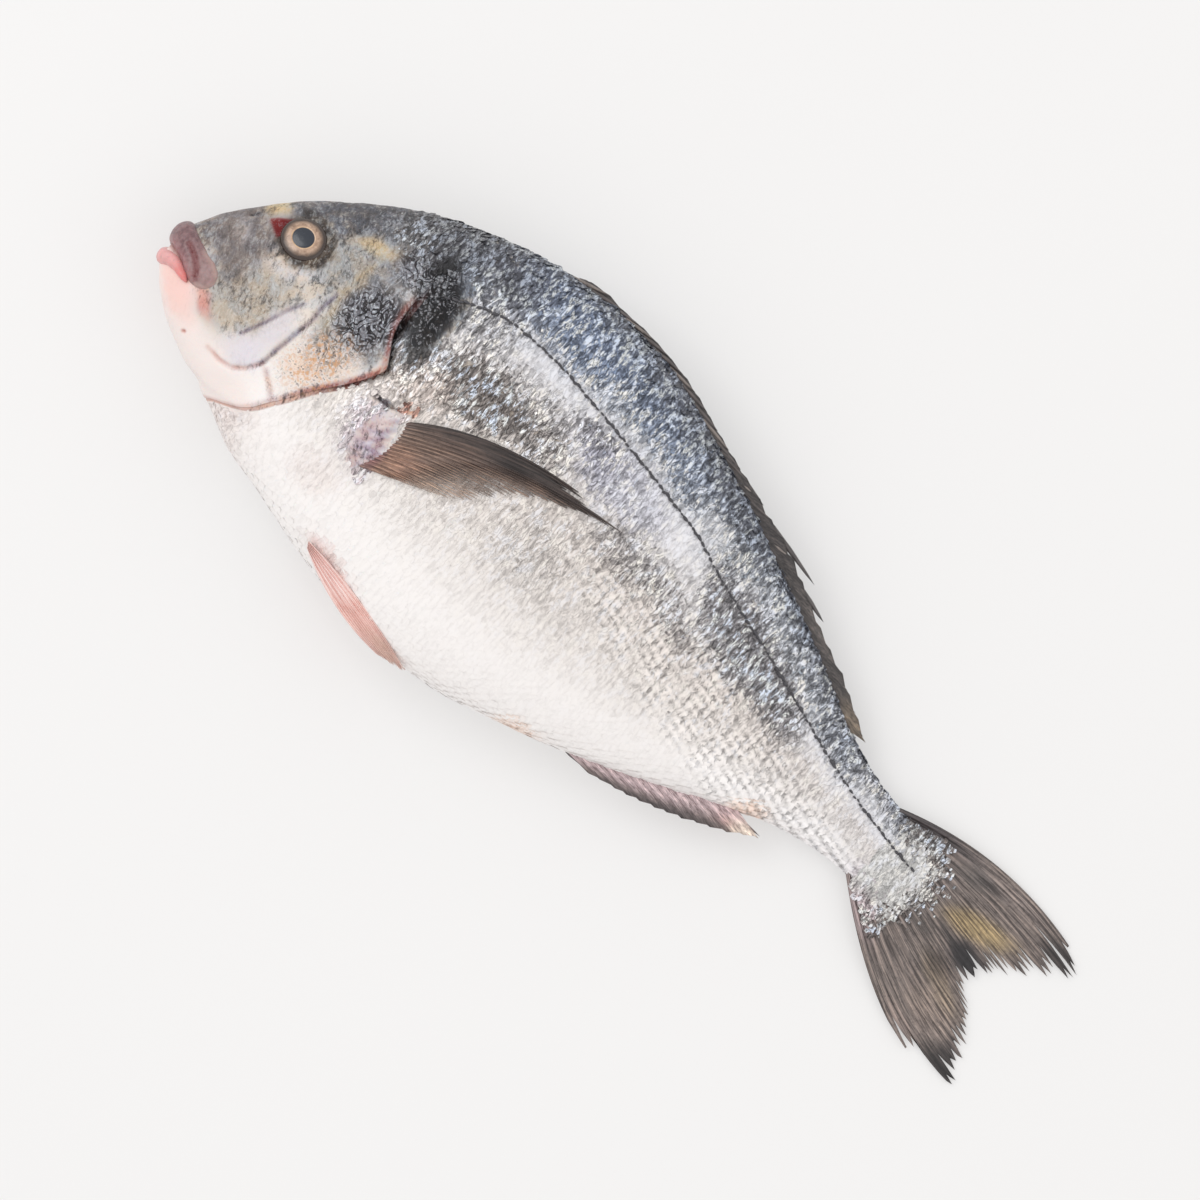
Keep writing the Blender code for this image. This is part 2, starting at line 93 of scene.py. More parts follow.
# Rings at the rear edge of the gill cover: station, how far each is pushed back, how far out.
TUCK = [(59.5, 0, 1.28), (60.0, 0.1, 1.12), (60.1, 0.25, 0.6), (60.2, -0.2, 0.1), (60.3, -1.4, -0.6),
        (60.4, -2.4, -1.5), (60.5, -1.6, -2.0), (60.6, 0.2, -1.4), (61.2, 1.0, -0.75)]
PALETTE = {
    "slate back": (112, 116, 128), "steel blue": (140, 156, 186), "upper silver": (190, 194, 201),
    "line silver": (226, 225, 229), "flank silver": (222, 213, 207), "pearl": (228, 221, 216),
    "belly white": (240, 236, 234), "throat white": (233, 222, 218), "chin pink": (236, 200, 192),
    "snout brown": (116, 107, 106), "forehead grey": (88, 86, 90), "cheek": (178, 167, 155),
    "under eye white": (206, 198, 196), "groove patch": (216, 210, 216), "charcoal": (78, 75, 81),
    "blotch black": (18, 17, 19), "speckle orange": (228, 205, 190), "old gold": (208, 184, 144),
    "socket olive": (84, 72, 62), "corner red": (118, 30, 32), "bronze": (132, 124, 120),
    "saddle grey": (142, 139, 142), "axil": (64, 48, 52), "lilac": (204, 189, 199),
    "fin brown": (112, 104, 102), "rust": (200, 134, 112), "shoulder cream": (210, 196, 188),
    "lavender": (184, 184, 202), "cover edge": (156, 92, 84), "cover rim": (216, 180, 168),
    # Two of these are painted shade: the dark red of gill tissue beneath the gill cover, and the near-black
    # of slits and pits.
    "shaded red inside": (116, 62, 56), "gap shade": (22, 16, 17), "groove violet": (112, 98, 116),
    "seam": (184, 124, 112), "snout stripe": (106, 97, 96), "behind the eye": (168, 163, 158),
    "ash": (138, 135, 135), "purple": (146, 112, 128), "lid": (56, 49, 45),
    "corner pink": (206, 122, 116), "vent pink": (246, 216, 198),
}
# The skin's colours from the belly's keel (-1) past the lateral line (0) to the ridge of the back (1).
UP_THE_FLANK = [(-1.0, "belly white"), (-0.8, "belly white"), (-0.55, "pearl"), (-0.3, "flank silver"),
                (-0.05, "line silver"), (0.3, "upper silver"), (0.7, "slate back"), (1.0, "slate back")]
# Patches of colour on the flank and head: name, centre, radii, turn in degrees, strength, softness.
PATCHES = [
    ("steel blue", (100, 60), (30, 8), -4, 0.75, 2),
    ("upper silver", (121, 55), (7, 4), -8, 0.4, 2),
    ("steel blue", (140, 53), (20, 5), -16, 0.5, 2),
    ("lavender", (132, 38), (17, 7), -10, 0.8, 2),
    ("bronze", (90, 30.5), (15, 7.5), 4, 0.95, 2.4),
    ("bronze", (104, 39), (12, 5), -4, 0.25, 2),
    ("saddle grey", (183, 29.5), (18, 8.0), -26, 0.9, 2.4),
    ("saddle grey", (201, 23.5), (13, 6), -24, 0.95, 2),
    ("upper silver", (188, 40.5), (16, 3.6), -24, 0.6, 2),
    ("saddle grey", (168, 21), (12, 4.5), -20, 0.3, 2),
    ("shoulder cream", (76, 22), (9, 6.5), 10, 0.8, 2),
    ("lilac", (73, 3), (7.5, 9), 10, 0.75, 2),
    ("saddle grey", (128, 8), (10, 11), 0, 0.08, 2),
    ("throat white", (30, -16), (30, 11), -20, 1.0, 3),
    ("belly white", (61, -23), (15, 9), -20, 0.8, 3),
    ("throat white", (70, -15), (8, 6), 0, 0.6, 2),
    ("chin pink", (90, -31), (10, 3), -12, 0.4, 2),
    ("chin pink", (9, -2.0), (11, 5.2), -28, 0.95, 2.0),
    ("behind the eye", (40, 32), (8, 12.5), 0, 0.95, 2.0),
    ("under eye white", (47, 38), (3.4, 4.4), 0, 0.5, 1.6),
    ("ash", (51, 46.5), (4, 4), 0, 0.5, 2),
    ("cheek", (27, 9.5), (11.5, 13.5), -10, 0.95, 2.2),
    ("snout brown", (11, 21), (9.5, 13), 40, 0.95, 2.6),
    ("snout stripe", (18.6, 19), (3.2, 8), -14, 0.8, 2),
    ("snout stripe", (12, 29), (9, 2.6), 44, 0.6, 2),
    ("snout brown", (5, 14.2), (6.5, 3.6), 38, 0.9, 2),
    ("snout brown", (15.5, 9), (6, 4.4), -12, 0.8, 1.5),
    ("cheek", (21.5, 3.2), (6, 5.6), 10, 0.8, 1.5),
    ("snout stripe", (6.5, 13.4), (5, 1.5), -20, 0.5, 2),
    ("corner pink", (18.5, -0.6), (4.5, 1.6), -24, 0.6, 1.5),
    ("under eye white", (29, 20.6), (8, 2.3), 22, 0.85, 2),
    ("forehead grey", (33, 46.5), (23, 8), 40, 0.95, 2.2),
    ("forehead grey", (58, 60), (18, 8), 18, 0.7, 2.4),
    ("groove patch", (36.5, 4), (3.4, 10), -12, 0.85, 2.4),
    ("groove patch", (34.5, -4.0), (6, 4.6), 0, 0.85, 2.4),
    ("ash", (50, 37), (7, 10), 12, 0.7, 2),
    ("charcoal", (54, 25), (8.5, 9.5), -14, 0.95, 2.6),
    ("charcoal", (55, 46), (9, 7), 30, 0.75, 2),
    ("ash", (46, 48), (9, 5), 36, 0.6, 2),
    ("ash", (49, 17), (5, 6), 0, 0.6, 1.8),
    ("speckle orange", (51.5, 7.5), (6.4, 9.0), -28, 0.85, 1.8),
    ("old gold", (45.2, 31), (1.8, 7), -6, 0.3, 1.4),
    ("old gold", (45.5, 19), (1.7, 6), 12, 0.4, 1.4),
    ("old gold", (43, 41.2), (5.4, 2.2), 12, 0.8, 1.5),
    ("old gold", (15.0, 31.4), (3.6, 2.8), 40, 0.95, 2),
    ("under eye white", (12.5, 20.5), (2.6, 4), 30, 0.5, 2),
    ("ash", (62, 19.5), (2.2, 5), 0, 0.7, 2),
    ("blotch black", (65.5, 39.5), (7.0, 13), 4, 1.0, 3),
    ("blotch black", (69, 29.5), (4.2, 7), 10, 0.8, 1.6),
    ("blotch black", (61.5, 47), (4.5, 8), 20, 0.85, 1.6),
    ("slate back", (74, 56), (15, 8), 0, 0.6, 1.6),
    ("ash", (80, 43.5), (8, 5), 0, 0.4, 1.5),
    ("line silver", (138, 38), (10, 6), -10, 0.5, 1.6),
    ("saddle grey", (150, 25), (13, 6), 0, 0.32, 1.6),
    ("rust", (78.5, 13.8), (2.6, 1.3), 25, 0.8, 2),
    ("purple", (79.2, 2.5), (1.3, 9.5), 4, 0.75, 2),
    ("purple", (74.5, 0), (1.6, 7), 8, 0.5, 1.6),
    ("purple", (76, -6), (2.6, 1.8), 30, 0.4, 2),
    ("axil", (72, 11.8), (4.6, 0.9), 8, 1.0, 3),
    ("socket olive", (27.6, 29.6), (8.6, 7.2), 12, 1.0, 5),
    ("vent pink", (217, -4.6), (6, 1.8), 26, 0.7, 1.6),
    ("vent pink", (156, -30.6), (7, 1.6), 22, 0.8, 1.6),
    ("line silver", (240, 20), (10, 4), -16, 0.5, 2),
    ("saddle grey", (120, 43), (8, 3), 0, 0.5, 2),
    ("bronze", (109, 31), (10, 5), 0, 0.5, 2),
    ("charcoal", (78, 59), (10, 7), 20, 0.35, 2),
    ("upper silver", (212, 30.5), (18, 4.5), -26, 0.5, 2),
    ("upper silver", (160, 47), (14, 3.5), -18, 0.5, 2),
    ("line silver", (160, 46), (7, 3), -16, 0.6, 2),
    ("line silver", (180, 38.5), (6, 2.5), -24, 0.6, 2),
    ("slate back", (224, 24), (9, 3), -24, 0.45, 2),
    ("lilac", (258, 0.5), (9, 3.5), -20, 0.6, 2),
    ("fin brown", (268, 21.5), (14, 2.2), -4, 0.8, 2),
    ("fin brown", (274, 10), (4.5, 20), 0, 0.9, 3),
]
# Thin lines of colour, with painted shade in the nostril and in the slit between the lips: name, path, half
# width, strength.
LINES = [
    ("groove violet", CHEEK_GROOVE, 0.55, 0.75),
    ("groove violet", COVER_GROOVE[:6], 0.6, 0.8),
    ("seam", COVER_GROOVE[5:], 0.6, 0.45),
    ("seam", COVER_SEAM, 0.7, 0.45),
    ("lid", [(22, 35.2), (24, 36.2), (28.4, 36.2), (32.4, 34.6), (34.4, 31), (33.8, 27)], 1.25, 0.85),
    ("lid", [(20.4, 25.6), (23, 23.9), (27, 22.9), (31.5, 24.2), (34, 27)], 0.6, 0.7),
    ("old gold", [(46, 40), (44, 26), (46.5, 16)], 0.6, 0.3),
    ("snout stripe", [(23.5, 20.5), (24.6, 22.6)], 0.45, 0.8),
    ("snout stripe", [(12.6, 18.5), (13.2, 16.8)], 0.4, 0.7),
    # Painted shade in the nostril.
    ("gap shade", [(11.1, 25.2), (12.1, 26.7)], 0.32, 0.8),
    ("seam", [(18.5, -10.8), (18.9, -10.6)], 0.45, 0.8),
    ("snout stripe", [(18.2, 7.5), (19.6, 10.5), (19.6, 14)], 0.5, 0.5),
    # Painted shade in the slit between the lips.
    ("shaded red inside", [(-1, 5.6), (5, 3.8), (10, 1.4)], 1.2, 0.95),
]
EYE_CORNER = ((15.6, 27.4), (20.6, 24.8), (22.5, 33.6))
# Where curly dark marks with pale flecks of painted highlight, orange specks or plain skin lie: centre,
# radii, turn in degrees, strength.
SCRIBBLED = [
    ((54, 24), (9, 12), -14, 1.0),
    ((58, 45), (9.5, 9), 20, 0.9),
    ((48, 53), (14, 6), 34, 0.45),
    ((66, 38), (8, 14), 5, 0.09),
    ((52, 13), (6.5, 8), -20, 0.6),
    ((43, 33), (8, 9), 0, 0.25),
    ((27, 9), (10, 12), -10, 0.2),
    ((13, 20), (7, 10), 40, 0.12),
]
SPECKLED = [((51.5, 7), (7.2, 10.5), -28, 1.0)]
CALM = [
    ((12, 19), (8, 11), 40, 0.45),
    ((30, 46), (18, 6), 40, 0.3),
    ((6, -3), (16, 7), -28, 1.0),
    ((28, -15), (30, 10), -25, 1.0),
    ((36, 1), (4.4, 15), -12, 0.9),
    ((20, 29), (5, 5), 0, 0.8),
]
LEAN_OF_MARKS = -0.42


def spline(points):
    """A smooth curve through (place, value) pairs, as a function of place."""
    places, values = (np.array(column, float) for column in zip(*points))
    chords = np.diff(values) / np.diff(places)
    slopes = np.empty_like(values)
    slopes[0], slopes[-1] = chords[0], chords[-1]
    left, right = np.diff(places)[:-1], np.diff(places)[1:]
    slopes[1:-1] = (chords[:-1] * right + chords[1:] * left) / (left + right)

    def curve(place):
        place = np.clip(place, places[0], places[-1])
        k = np.clip(np.searchsorted(places, place) - 1, 0, len(places) - 2)
        span = places[k + 1] - places[k]
        t = (place - places[k]) / span
        return (
            (1 + 2 * t) * (1 - t) ** 2 * values[k]
            + t * (1 - t) ** 2 * span * slopes[k]
            + t * t * (3 - 2 * t) * values[k + 1]
            + t * t * (t - 1) * span * slopes[k + 1]
        )

    return curve


def smoothstep(low, high, value):
    t = np.clip((value - low) / (high - low), 0, 1)
    return t * t * (3 - 2 * t)


back, belly = spline(BACK), spline(BELLY)
half_width, middle, widest = spline(HALF_WIDTH), spline(MIDDLE), spline(WIDEST)
gill_edge, lateral = spline(GILL_EDGE), spline(LATERAL_LINE)


def section_point(station, angle):
    """A point of the smooth body: angle 0 is the left flank, 90 degrees the ridge of the back."""
    rise, side = np.sin(angle), np.cos(angle)
    x = station + 0 * angle
    bend = smoothstep(2, GILL_STATION, station) * (1 - smoothstep(GILL_STATION, 125, station))
    for _ in range(6):
        top, bottom = back(x), belly(x)
        wide = bottom + widest(x) * (top - bottom)
        y = wide + np.where(rise > 0, top - wide, wide - bottom) * rise
        x = station + bend * (gill_edge(y) - GILL_STATION)
    fullness = np.where(rise > 0, BACK_FULLNESS, BELLY_FULLNESS)
    z = middle(x) + half_width(x) * np.sign(side) * np.abs(side) ** (2 / fullness)
    return np.stack([x, y, z], axis=-1)


def flank_height(x, y):
    """How far the skin stands out from the middle plane at a place on the side."""
    top, bottom = back(x), belly(x)
    wide = bottom + widest(x) * (top - bottom)
    rise = np.clip(np.where(y > wide, (y - wide) / (top - wide), (wide - y) / (wide - bottom)), 0, 0.999)
    fullness = np.where(y > wide, BACK_FULLNESS, BELLY_FULLNESS)
    return half_width(x) * np.sqrt(1 - rise**2) ** (2 / fullness)


def grain(x, y, z, size, seed):
    """Smooth noise from -1 to 1, its lumps about as large as size."""
    flat = zip(np.ravel(x / size) + seed * 17.3, np.ravel(y / size) + seed * 5.1, np.ravel(z / size))
    return np.array([noise.noise(Vector(place)) for place in flat]).reshape(np.shape(x))


def from_path(x, y, path):
    """The distance of each place (x, y) from a line of points, and how far along the line it is."""
    nearest = np.full(np.shape(x), 1e9)
    along = np.zeros(np.shape(x))
    total = 0.0
    for (ax, ay), (bx, by) in zip(path, path[1:]):
        length = math.hypot(bx - ax, by - ay)
        t = np.clip(((x - ax) * (bx - ax) + (y - ay) * (by - ay)) / length**2, 0, 1)
        away = np.hypot(x - ax - t * (bx - ax), y - ay - t * (by - ay))
        along = np.where(away < nearest, total + t * length, along)
        nearest = np.minimum(nearest, away)
        total += length
    return nearest, along / total


def within(x, y, centre, radii, turn):
    """How far a place is from the middle of a turned ellipse, 1 on its edge."""
    c, s = math.cos(math.radians(turn)), math.sin(math.radians(turn))
    u, v = (x - centre[0]) * c + (y - centre[1]) * s, (y - centre[1]) * c - (x - centre[0]) * s
    return np.hypot(u / radii[0], v / radii[1])


def inside_corner(x, y):
    """How deep a place is inside the red corner in front of the eye, below 0 outside it."""
    depth = np.full(np.shape(x), 1e9)
    for (ax, ay), (bx, by) in zip(EYE_CORNER, EYE_CORNER[1:] + EYE_CORNER[:1]):
        from_edge = ((bx - ax) * (y - ay) - (by - ay) * (x - ax)) / math.hypot(bx - ax, by - ay)
        depth = np.minimum(depth, from_edge)
    return depth


def gill_share(y):
    """How far the gill cover stands open at a height: most beside its middle, little at the throat."""
    return (1 - smoothstep(*GILL_TOP_FADE, y)) * (0.10 + 0.90 * smoothstep(0, 18, y))


def linear(colour):
    """A screen colour of 0 to 255 as the light that it stands for."""
    share = np.asarray(colour, float) / 255
    return np.where(share <= 0.04045, share / 12.92, ((share + 0.055) / 1.055) ** 2.4)


def skin_tone(x, y, z):
    """The colour of the skin by where it is: dark back, silver flank, white belly, its patches and lines,
    and painted shade in the nostril and between the lips.
    """
    true_x, true_y = x, y
    wander = grain(x, y, z, 9.0, 1)
    fine = grain(x, y, z, 2.6, 2)
    x, y = x + 1.6 * wander + 0.7 * fine, y + 1.6 * grain(x, y, z, 9.0, 3) + 0.6 * fine
    line = lateral(x)
    above = (y - line) / np.maximum(back(x) - line, 1)
    below = (line - y) / np.maximum(line - belly(x), 1)
    height = np.where(y > line, above, -below)
    places, colours = [step[0] for step in UP_THE_FLANK], [PALETTE[step[1]] for step in UP_THE_FLANK]
    tone = np.stack([np.interp(height, places, channel) for channel in zip(*colours)], -1)
    towards_tail = 0.35 * smoothstep(190, 250, x)[..., None] * (np.abs(height)[..., None] < 2)
    tone = tone + towards_tail * (np.array(PALETTE["line silver"]) - tone)
    for name, centre, radii, turn, strength, softness in PATCHES:
        share = strength * np.exp(-within(x, y, centre, radii, turn) ** (2 * softness) * 0.9)
        tone = tone + share[..., None] * (np.array(PALETTE[name]) - tone)
    for name, path, half, strength in LINES:
        away = from_path(true_x, true_y, path)[0]
        broken = np.clip(0.85 + 0.5 * fine, 0.3, 1) * (true_x < 62)
        share = strength * broken * np.exp(-((away / half) ** 2))
        tone = tone + share[..., None] * (np.array(PALETTE[name]) - tone)
    corner = smoothstep(-0.25, 0.45, inside_corner(true_x, true_y))
    tone = tone + corner[..., None] * (np.array(PALETTE["corner red"]) - tone)
    ahead = gill_edge(true_y) - true_x
    up_the_edge = (1 - smoothstep(32, 40, true_y)) * (0.25 + 0.75 * smoothstep(-12, 6, true_y))
    share = 0.9 * np.exp(-((ahead - 0.3) ** 2)) * up_the_edge
    tone = tone + share[..., None] * (np.array(PALETTE["cover edge"]) - tone)
    return linear(tone)


def relief(points, stations):
    """How far the skin is raised (or sunk): grooves of the cheek, eye socket, nostril and fin root."""
    x, y, z = np.moveaxis(points, -1, 0)
    on_side = smoothstep(2, 6, np.abs(z - middle(x)))
    open_gill = gill_share(y)
    ahead = smoothstep(22, GILL_STATION, stations) * (stations < TUCK[0][0])
    behind = (stations > TUCK[-1][0]) * (1 - smoothstep(GILL_STATION, GILL_STATION + 7, stations))
    raised = 1.3 * ahead * open_gill - 0.75 * behind * open_gill
    for path, depth, width in GROOVES:
        away, along = from_path(x, y, path)
        ends = smoothstep(0, 0.12, along) * (1 - smoothstep(0.9, 1, along))
        raised -= depth * np.exp(-((away / width) ** 2)) * on_side * ends
    inside = from_path(x, y, COVER_GROOVE)[0]
    lobe = np.exp(-within(x, y, *CHEEK_LOBE) ** 4)
    raised += 0.45 * lobe * smoothstep(0, 2, inside) * on_side
    eye = within(x, y, *EYE_SOCKET)
    raised += (-1.1 * np.exp(-(eye**6)) + 0.3 * np.exp(-(((eye - 1.3) / 0.2) ** 2))) * on_side
    raised -= 0.55 * smoothstep(-0.3, 1.2, inside_corner(x, y)) * on_side
    for centre, radii, turn, depth in PITS:
        raised -= depth * np.exp(-within(x, y, centre, radii, turn) ** 2) * on_side
    for crease in CREASES:
        raised -= 0.3 * np.exp(-((from_path(x, y, crease)[0] / 0.45) ** 2)) * on_side
    root = within(x, y, *FIN_ROOT)
    raised += 1.3 * np.exp(-((root * 1.1) ** 4)) * on_side
    raised -= 0.9 * np.exp(-((from_path(x, y, FIN_POCKET)[0] / 0.7) ** 2)) * on_side
    rough = smoothstep(20, 30, x) * smoothstep(-10, 0, y)
    raised += 0.2 * grain(x, y, z, 5.0, 4) + 0.13 * rough * grain(x * 1.6, y, z, 1.7, 5)
    crumpled = sum(np.exp(-within(x, y, *area) ** 4) for area in CRUMPLED)
    raised += 0.22 * crumpled * grain(x * 1.3, y, z, 1.5, 6)
    return raised - SKIN_SINK


def thinned_root(x):
    """How much of its thickness the flesh keeps where it runs out into the tail fin."""
    return 1 - THINNED_BY * smoothstep(*THINNED_ROOT, x)


def placed(points):
    """Millimetres on the fish's grid to metres in the frame, with the flesh settled on the table."""
    x, y, z = np.moveaxis(np.asarray(points, float), -1, 0)
    soft = 0.5 * (z + np.sqrt(z * z + 4 * SETTLE_SOFTNESS**2)) - FLAT_CUT
    return np.stack([x - BOX_CENTRE_X, y - BOX_CENTRE_Y, np.maximum(soft, 0.03)], axis=-1) * MM


def unit(vectors):
    """The same directions with a length of 1."""
    return vectors / np.maximum(np.linalg.norm(vectors, axis=-1, keepdims=True), 1e-12)


def across(points):
    """Unit normals of a grid of points whose second direction closes on itself."""
    around = (np.roll(points, -1, axis=1) - np.roll(points, 1, axis=1)) / 2
    return unit(np.cross(np.gradient(points, axis=0), around))


class Flow:
    """One output of a shader node, so that sums are written as sums."""

    def __init__(self, tree, socket=None):
        self.tree, self.socket = tree, socket

    def node(self, kind, inputs=None, out=0, **settings):
        """One output of a new node. inputs are values or flows, by socket name or number."""
        made = self.tree.nodes.new(kind)
        for name, value in settings.items():
            setattr(made, name, value)
        for name, value in (inputs or {}).items():
            if isinstance(value, Flow):
                self.tree.links.new(value.socket, made.inputs[name])
            else:
                made.inputs[name].default_value = value
        return Flow(self.tree, made.outputs[out])

    def maths(self, operation, *values):
        return self.node("ShaderNodeMath", dict(enumerate(values)), operation=operation)

    def __add__(self, other):
        return self.maths("ADD", self, other)

    __radd__ = __add__

    def __mul__(self, other):
        return self.maths("MULTIPLY", self, other)

    __rmul__ = __mul__

    def __sub__(self, other):
        return self.maths("SUBTRACT", self, other)

    def __rsub__(self, other):
        return self.maths("SUBTRACT", other, self)

    def from_level(self, level):
        """How far this value is from a level, above or below."""
        return (self - level).maths("ABSOLUTE", self - level)

    def between(self, low, high):
        """This value's place between two levels, from 0 to 1."""
        return self.node("ShaderNodeMapRange", {"Value": self, "From Min": low, "From Max": high})

    def blended(self, share, first, second, blend="MIX"):
        colours = {0: share, 6: first, 7: second}
        return self.node("ShaderNodeMix", colours, out=2, data_type="RGBA", blend_type=blend)

    def mixed(self, first, second, blend="MIX"):
        """The colour between two others, with this value as the share of the second."""
        return self.blended(self, first, second, blend)

    def value(self, name):
        """A value that the mesh carries at its points."""
        return self.node("ShaderNodeAttribute", out=2, attribute_name=name)

    def tone(self):
        """The colour that the mesh carries at its points."""
        return self.node("ShaderNodeAttribute", out=0, attribute_name="tone")

    def brightness(self, colour):
        return self.node("ShaderNodeRGBToBW", {0: colour})

    def spot(self):
        """The place on the object, in metres."""
        return self.node("ShaderNodeTexCoord", out=3)

    def stretched(self, vector, factors):
        return self.node("ShaderNodeVectorMath", {0: vector, 1: factors}, operation="MULTIPLY")

    def clouds(self, vector, scale, detail=3.0, rough=0.55, warp=0.0):
        look = {"Scale": scale, "Detail": detail, "Roughness": rough, "Distortion": warp}
        return self.node("ShaderNodeTexNoise", {"Vector": vector, **look})

    def cells(self, vector, scale):
        return self.node("ShaderNodeTexVoronoi", {"Vector": vector, "Scale": scale}, feature="F1")

    def bump(self, height, strength, distance):
        return self.node("ShaderNodeBump", {"Height": height, "Strength": strength, "Distance": distance})


def finish(name, roughness, metallic=0.0, **settings):
    """A new material and a flow on its nodes. Settings are the shader's own sockets."""
    material = bpy.data.materials.new(name)
    material.use_nodes = True
    shader = material.node_tree.nodes["Principled BSDF"]
    values = {"Roughness": roughness, "Metallic": metallic, **settings}
    for socket, value in values.items():
        shader.inputs[socket.replace("_", " ")].default_value = value
    return material, shader, Flow(material.node_tree)


def feed(material, shader, **flows):
    """Links flows to the shader's sockets, by name."""
    for name, flow in flows.items():
        material.node_tree.links.new(flow.socket, shader.inputs[name.replace("_", " ")])


def give_tones(mesh, tones):
    """Stores one colour for each point of a mesh."""
    layer = mesh.attributes.new("tone", "FLOAT_COLOR", "POINT")
    layer.data.foreach_set("color", np.append(tones, np.ones((len(tones), 1)), 1).ravel())


def shell(name, rings, tones=None, values=None):
    """A closed mesh lofted through a grid of points in metres, with its colours and other values."""
    rings = np.asarray(rings, float)
    rows, count = rings.shape[:2]
    index = np.arange(rows * count).reshape(rows, count)
    ahead = np.roll(index, -1, axis=1)
    quads = np.stack([index[:-1], ahead[:-1], ahead[1:], index[1:]], axis=-1).reshape(-1, 4)
    faces = quads.tolist() + [index[0][::-1].tolist(), index[-1].tolist()]
    mesh = bpy.data.meshes.new(name)
    mesh.from_pydata(rings.reshape(-1, 3).tolist(), [], faces)
    if tones is not None:
        give_tones(mesh, tones.reshape(-1, 3))
    for key, value in (values or {}).items():
        layer = mesh.attributes.new(key, "FLOAT", "POINT")
        layer.data.foreach_set("value", np.asarray(value, float).ravel())
    return outward(mesh)


def outward(mesh):
    """Turns every face of a closed mesh outwards and shades it smooth."""
    form = bmesh.new()
    form.from_mesh(mesh)
    bmesh.ops.recalc_face_normals(form, faces=form.faces)
    form.to_mesh(mesh)
    form.free()
    mesh.shade_smooth()
    return mesh


def laid(name, mesh, material, *nodes):
    """Makes a mesh a piece of the fish, which rides on its one body."""
    made = bpy.data.objects.new(name, mesh)
    bpy.context.scene.collection.objects.link(made)
    made.data.materials.clear()
    made.data.materials.append(material)
    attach(made, "root")
    if nodes:
        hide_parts(*nodes)
    return made


head_stations = np.linspace(MOUTH_STATION, TUCK[0][0] - 0.4, HEAD_RINGS)
body_stations = np.linspace(TUCK[-1][0] + 0.7, TAIL_STATION, BODY_RINGS)
ring_rows = [(s, 0, 0) for s in head_stations] + TUCK + [(s, 0, 0) for s in body_stations]
ring_station, ring_push, ring_out = (np.array(column, float)[:, None] for column in zip(*ring_rows))
ring_angle = np.linspace(0, 2 * np.pi, AROUND, endpoint=False)[None, :]
plain_skin = section_point(ring_station + 0 * ring_angle, ring_angle + 0 * ring_station)
cover_open = gill_share(plain_skin[..., 1])
pushed = ring_station + ring_push * cover_open
plain_skin = section_point(pushed, ring_angle + 0 * pushed)
plain_middle = middle(plain_skin[..., 0])
plain_skin[..., 2] = plain_middle + thinned_root(plain_skin[..., 0]) * (plain_skin[..., 2] - plain_middle)
skin_normals = across(section_point(ring_station + 0 * ring_angle, ring_angle + 0 * ring_station))
lift = relief(plain_skin, ring_station + 0 * ring_angle) + ring_out * cover_open
skin_mm = plain_skin + skin_normals * lift[..., None]
skin_tones = skin_tone(*np.moveaxis(plain_skin, -1, 0))
# Where the skin tucks in beneath the rear edge of the gill cover it is painted with shade: dark red gill
# tissue, near-black in the slit beside the cover's middle, and paler low down at the throat.
cover_y = plain_skin[..., 1]
tucked = (ring_station > TUCK[1][0]) & (ring_station < TUCK[-1][0] + 0.1)
tucked = tucked * (1 - smoothstep(*GILL_TOP_FADE, cover_y))
deep = (smoothstep(14, 20, cover_y) * (1 - smoothstep(30, 36, cover_y)))[..., None]
shaded_tuck = (1 - deep) * linear(PALETTE["shaded red inside"]) + deep * linear(PALETTE["gap shade"])
low_down = 1 - smoothstep(-6, 8, cover_y)[..., None]
shaded_tuck = shaded_tuck + 0.8 * low_down * (linear(PALETTE["cover rim"]) - shaded_tuck)
skin_tones += 0.92 * tucked[..., None] * (shaded_tuck - skin_tones)


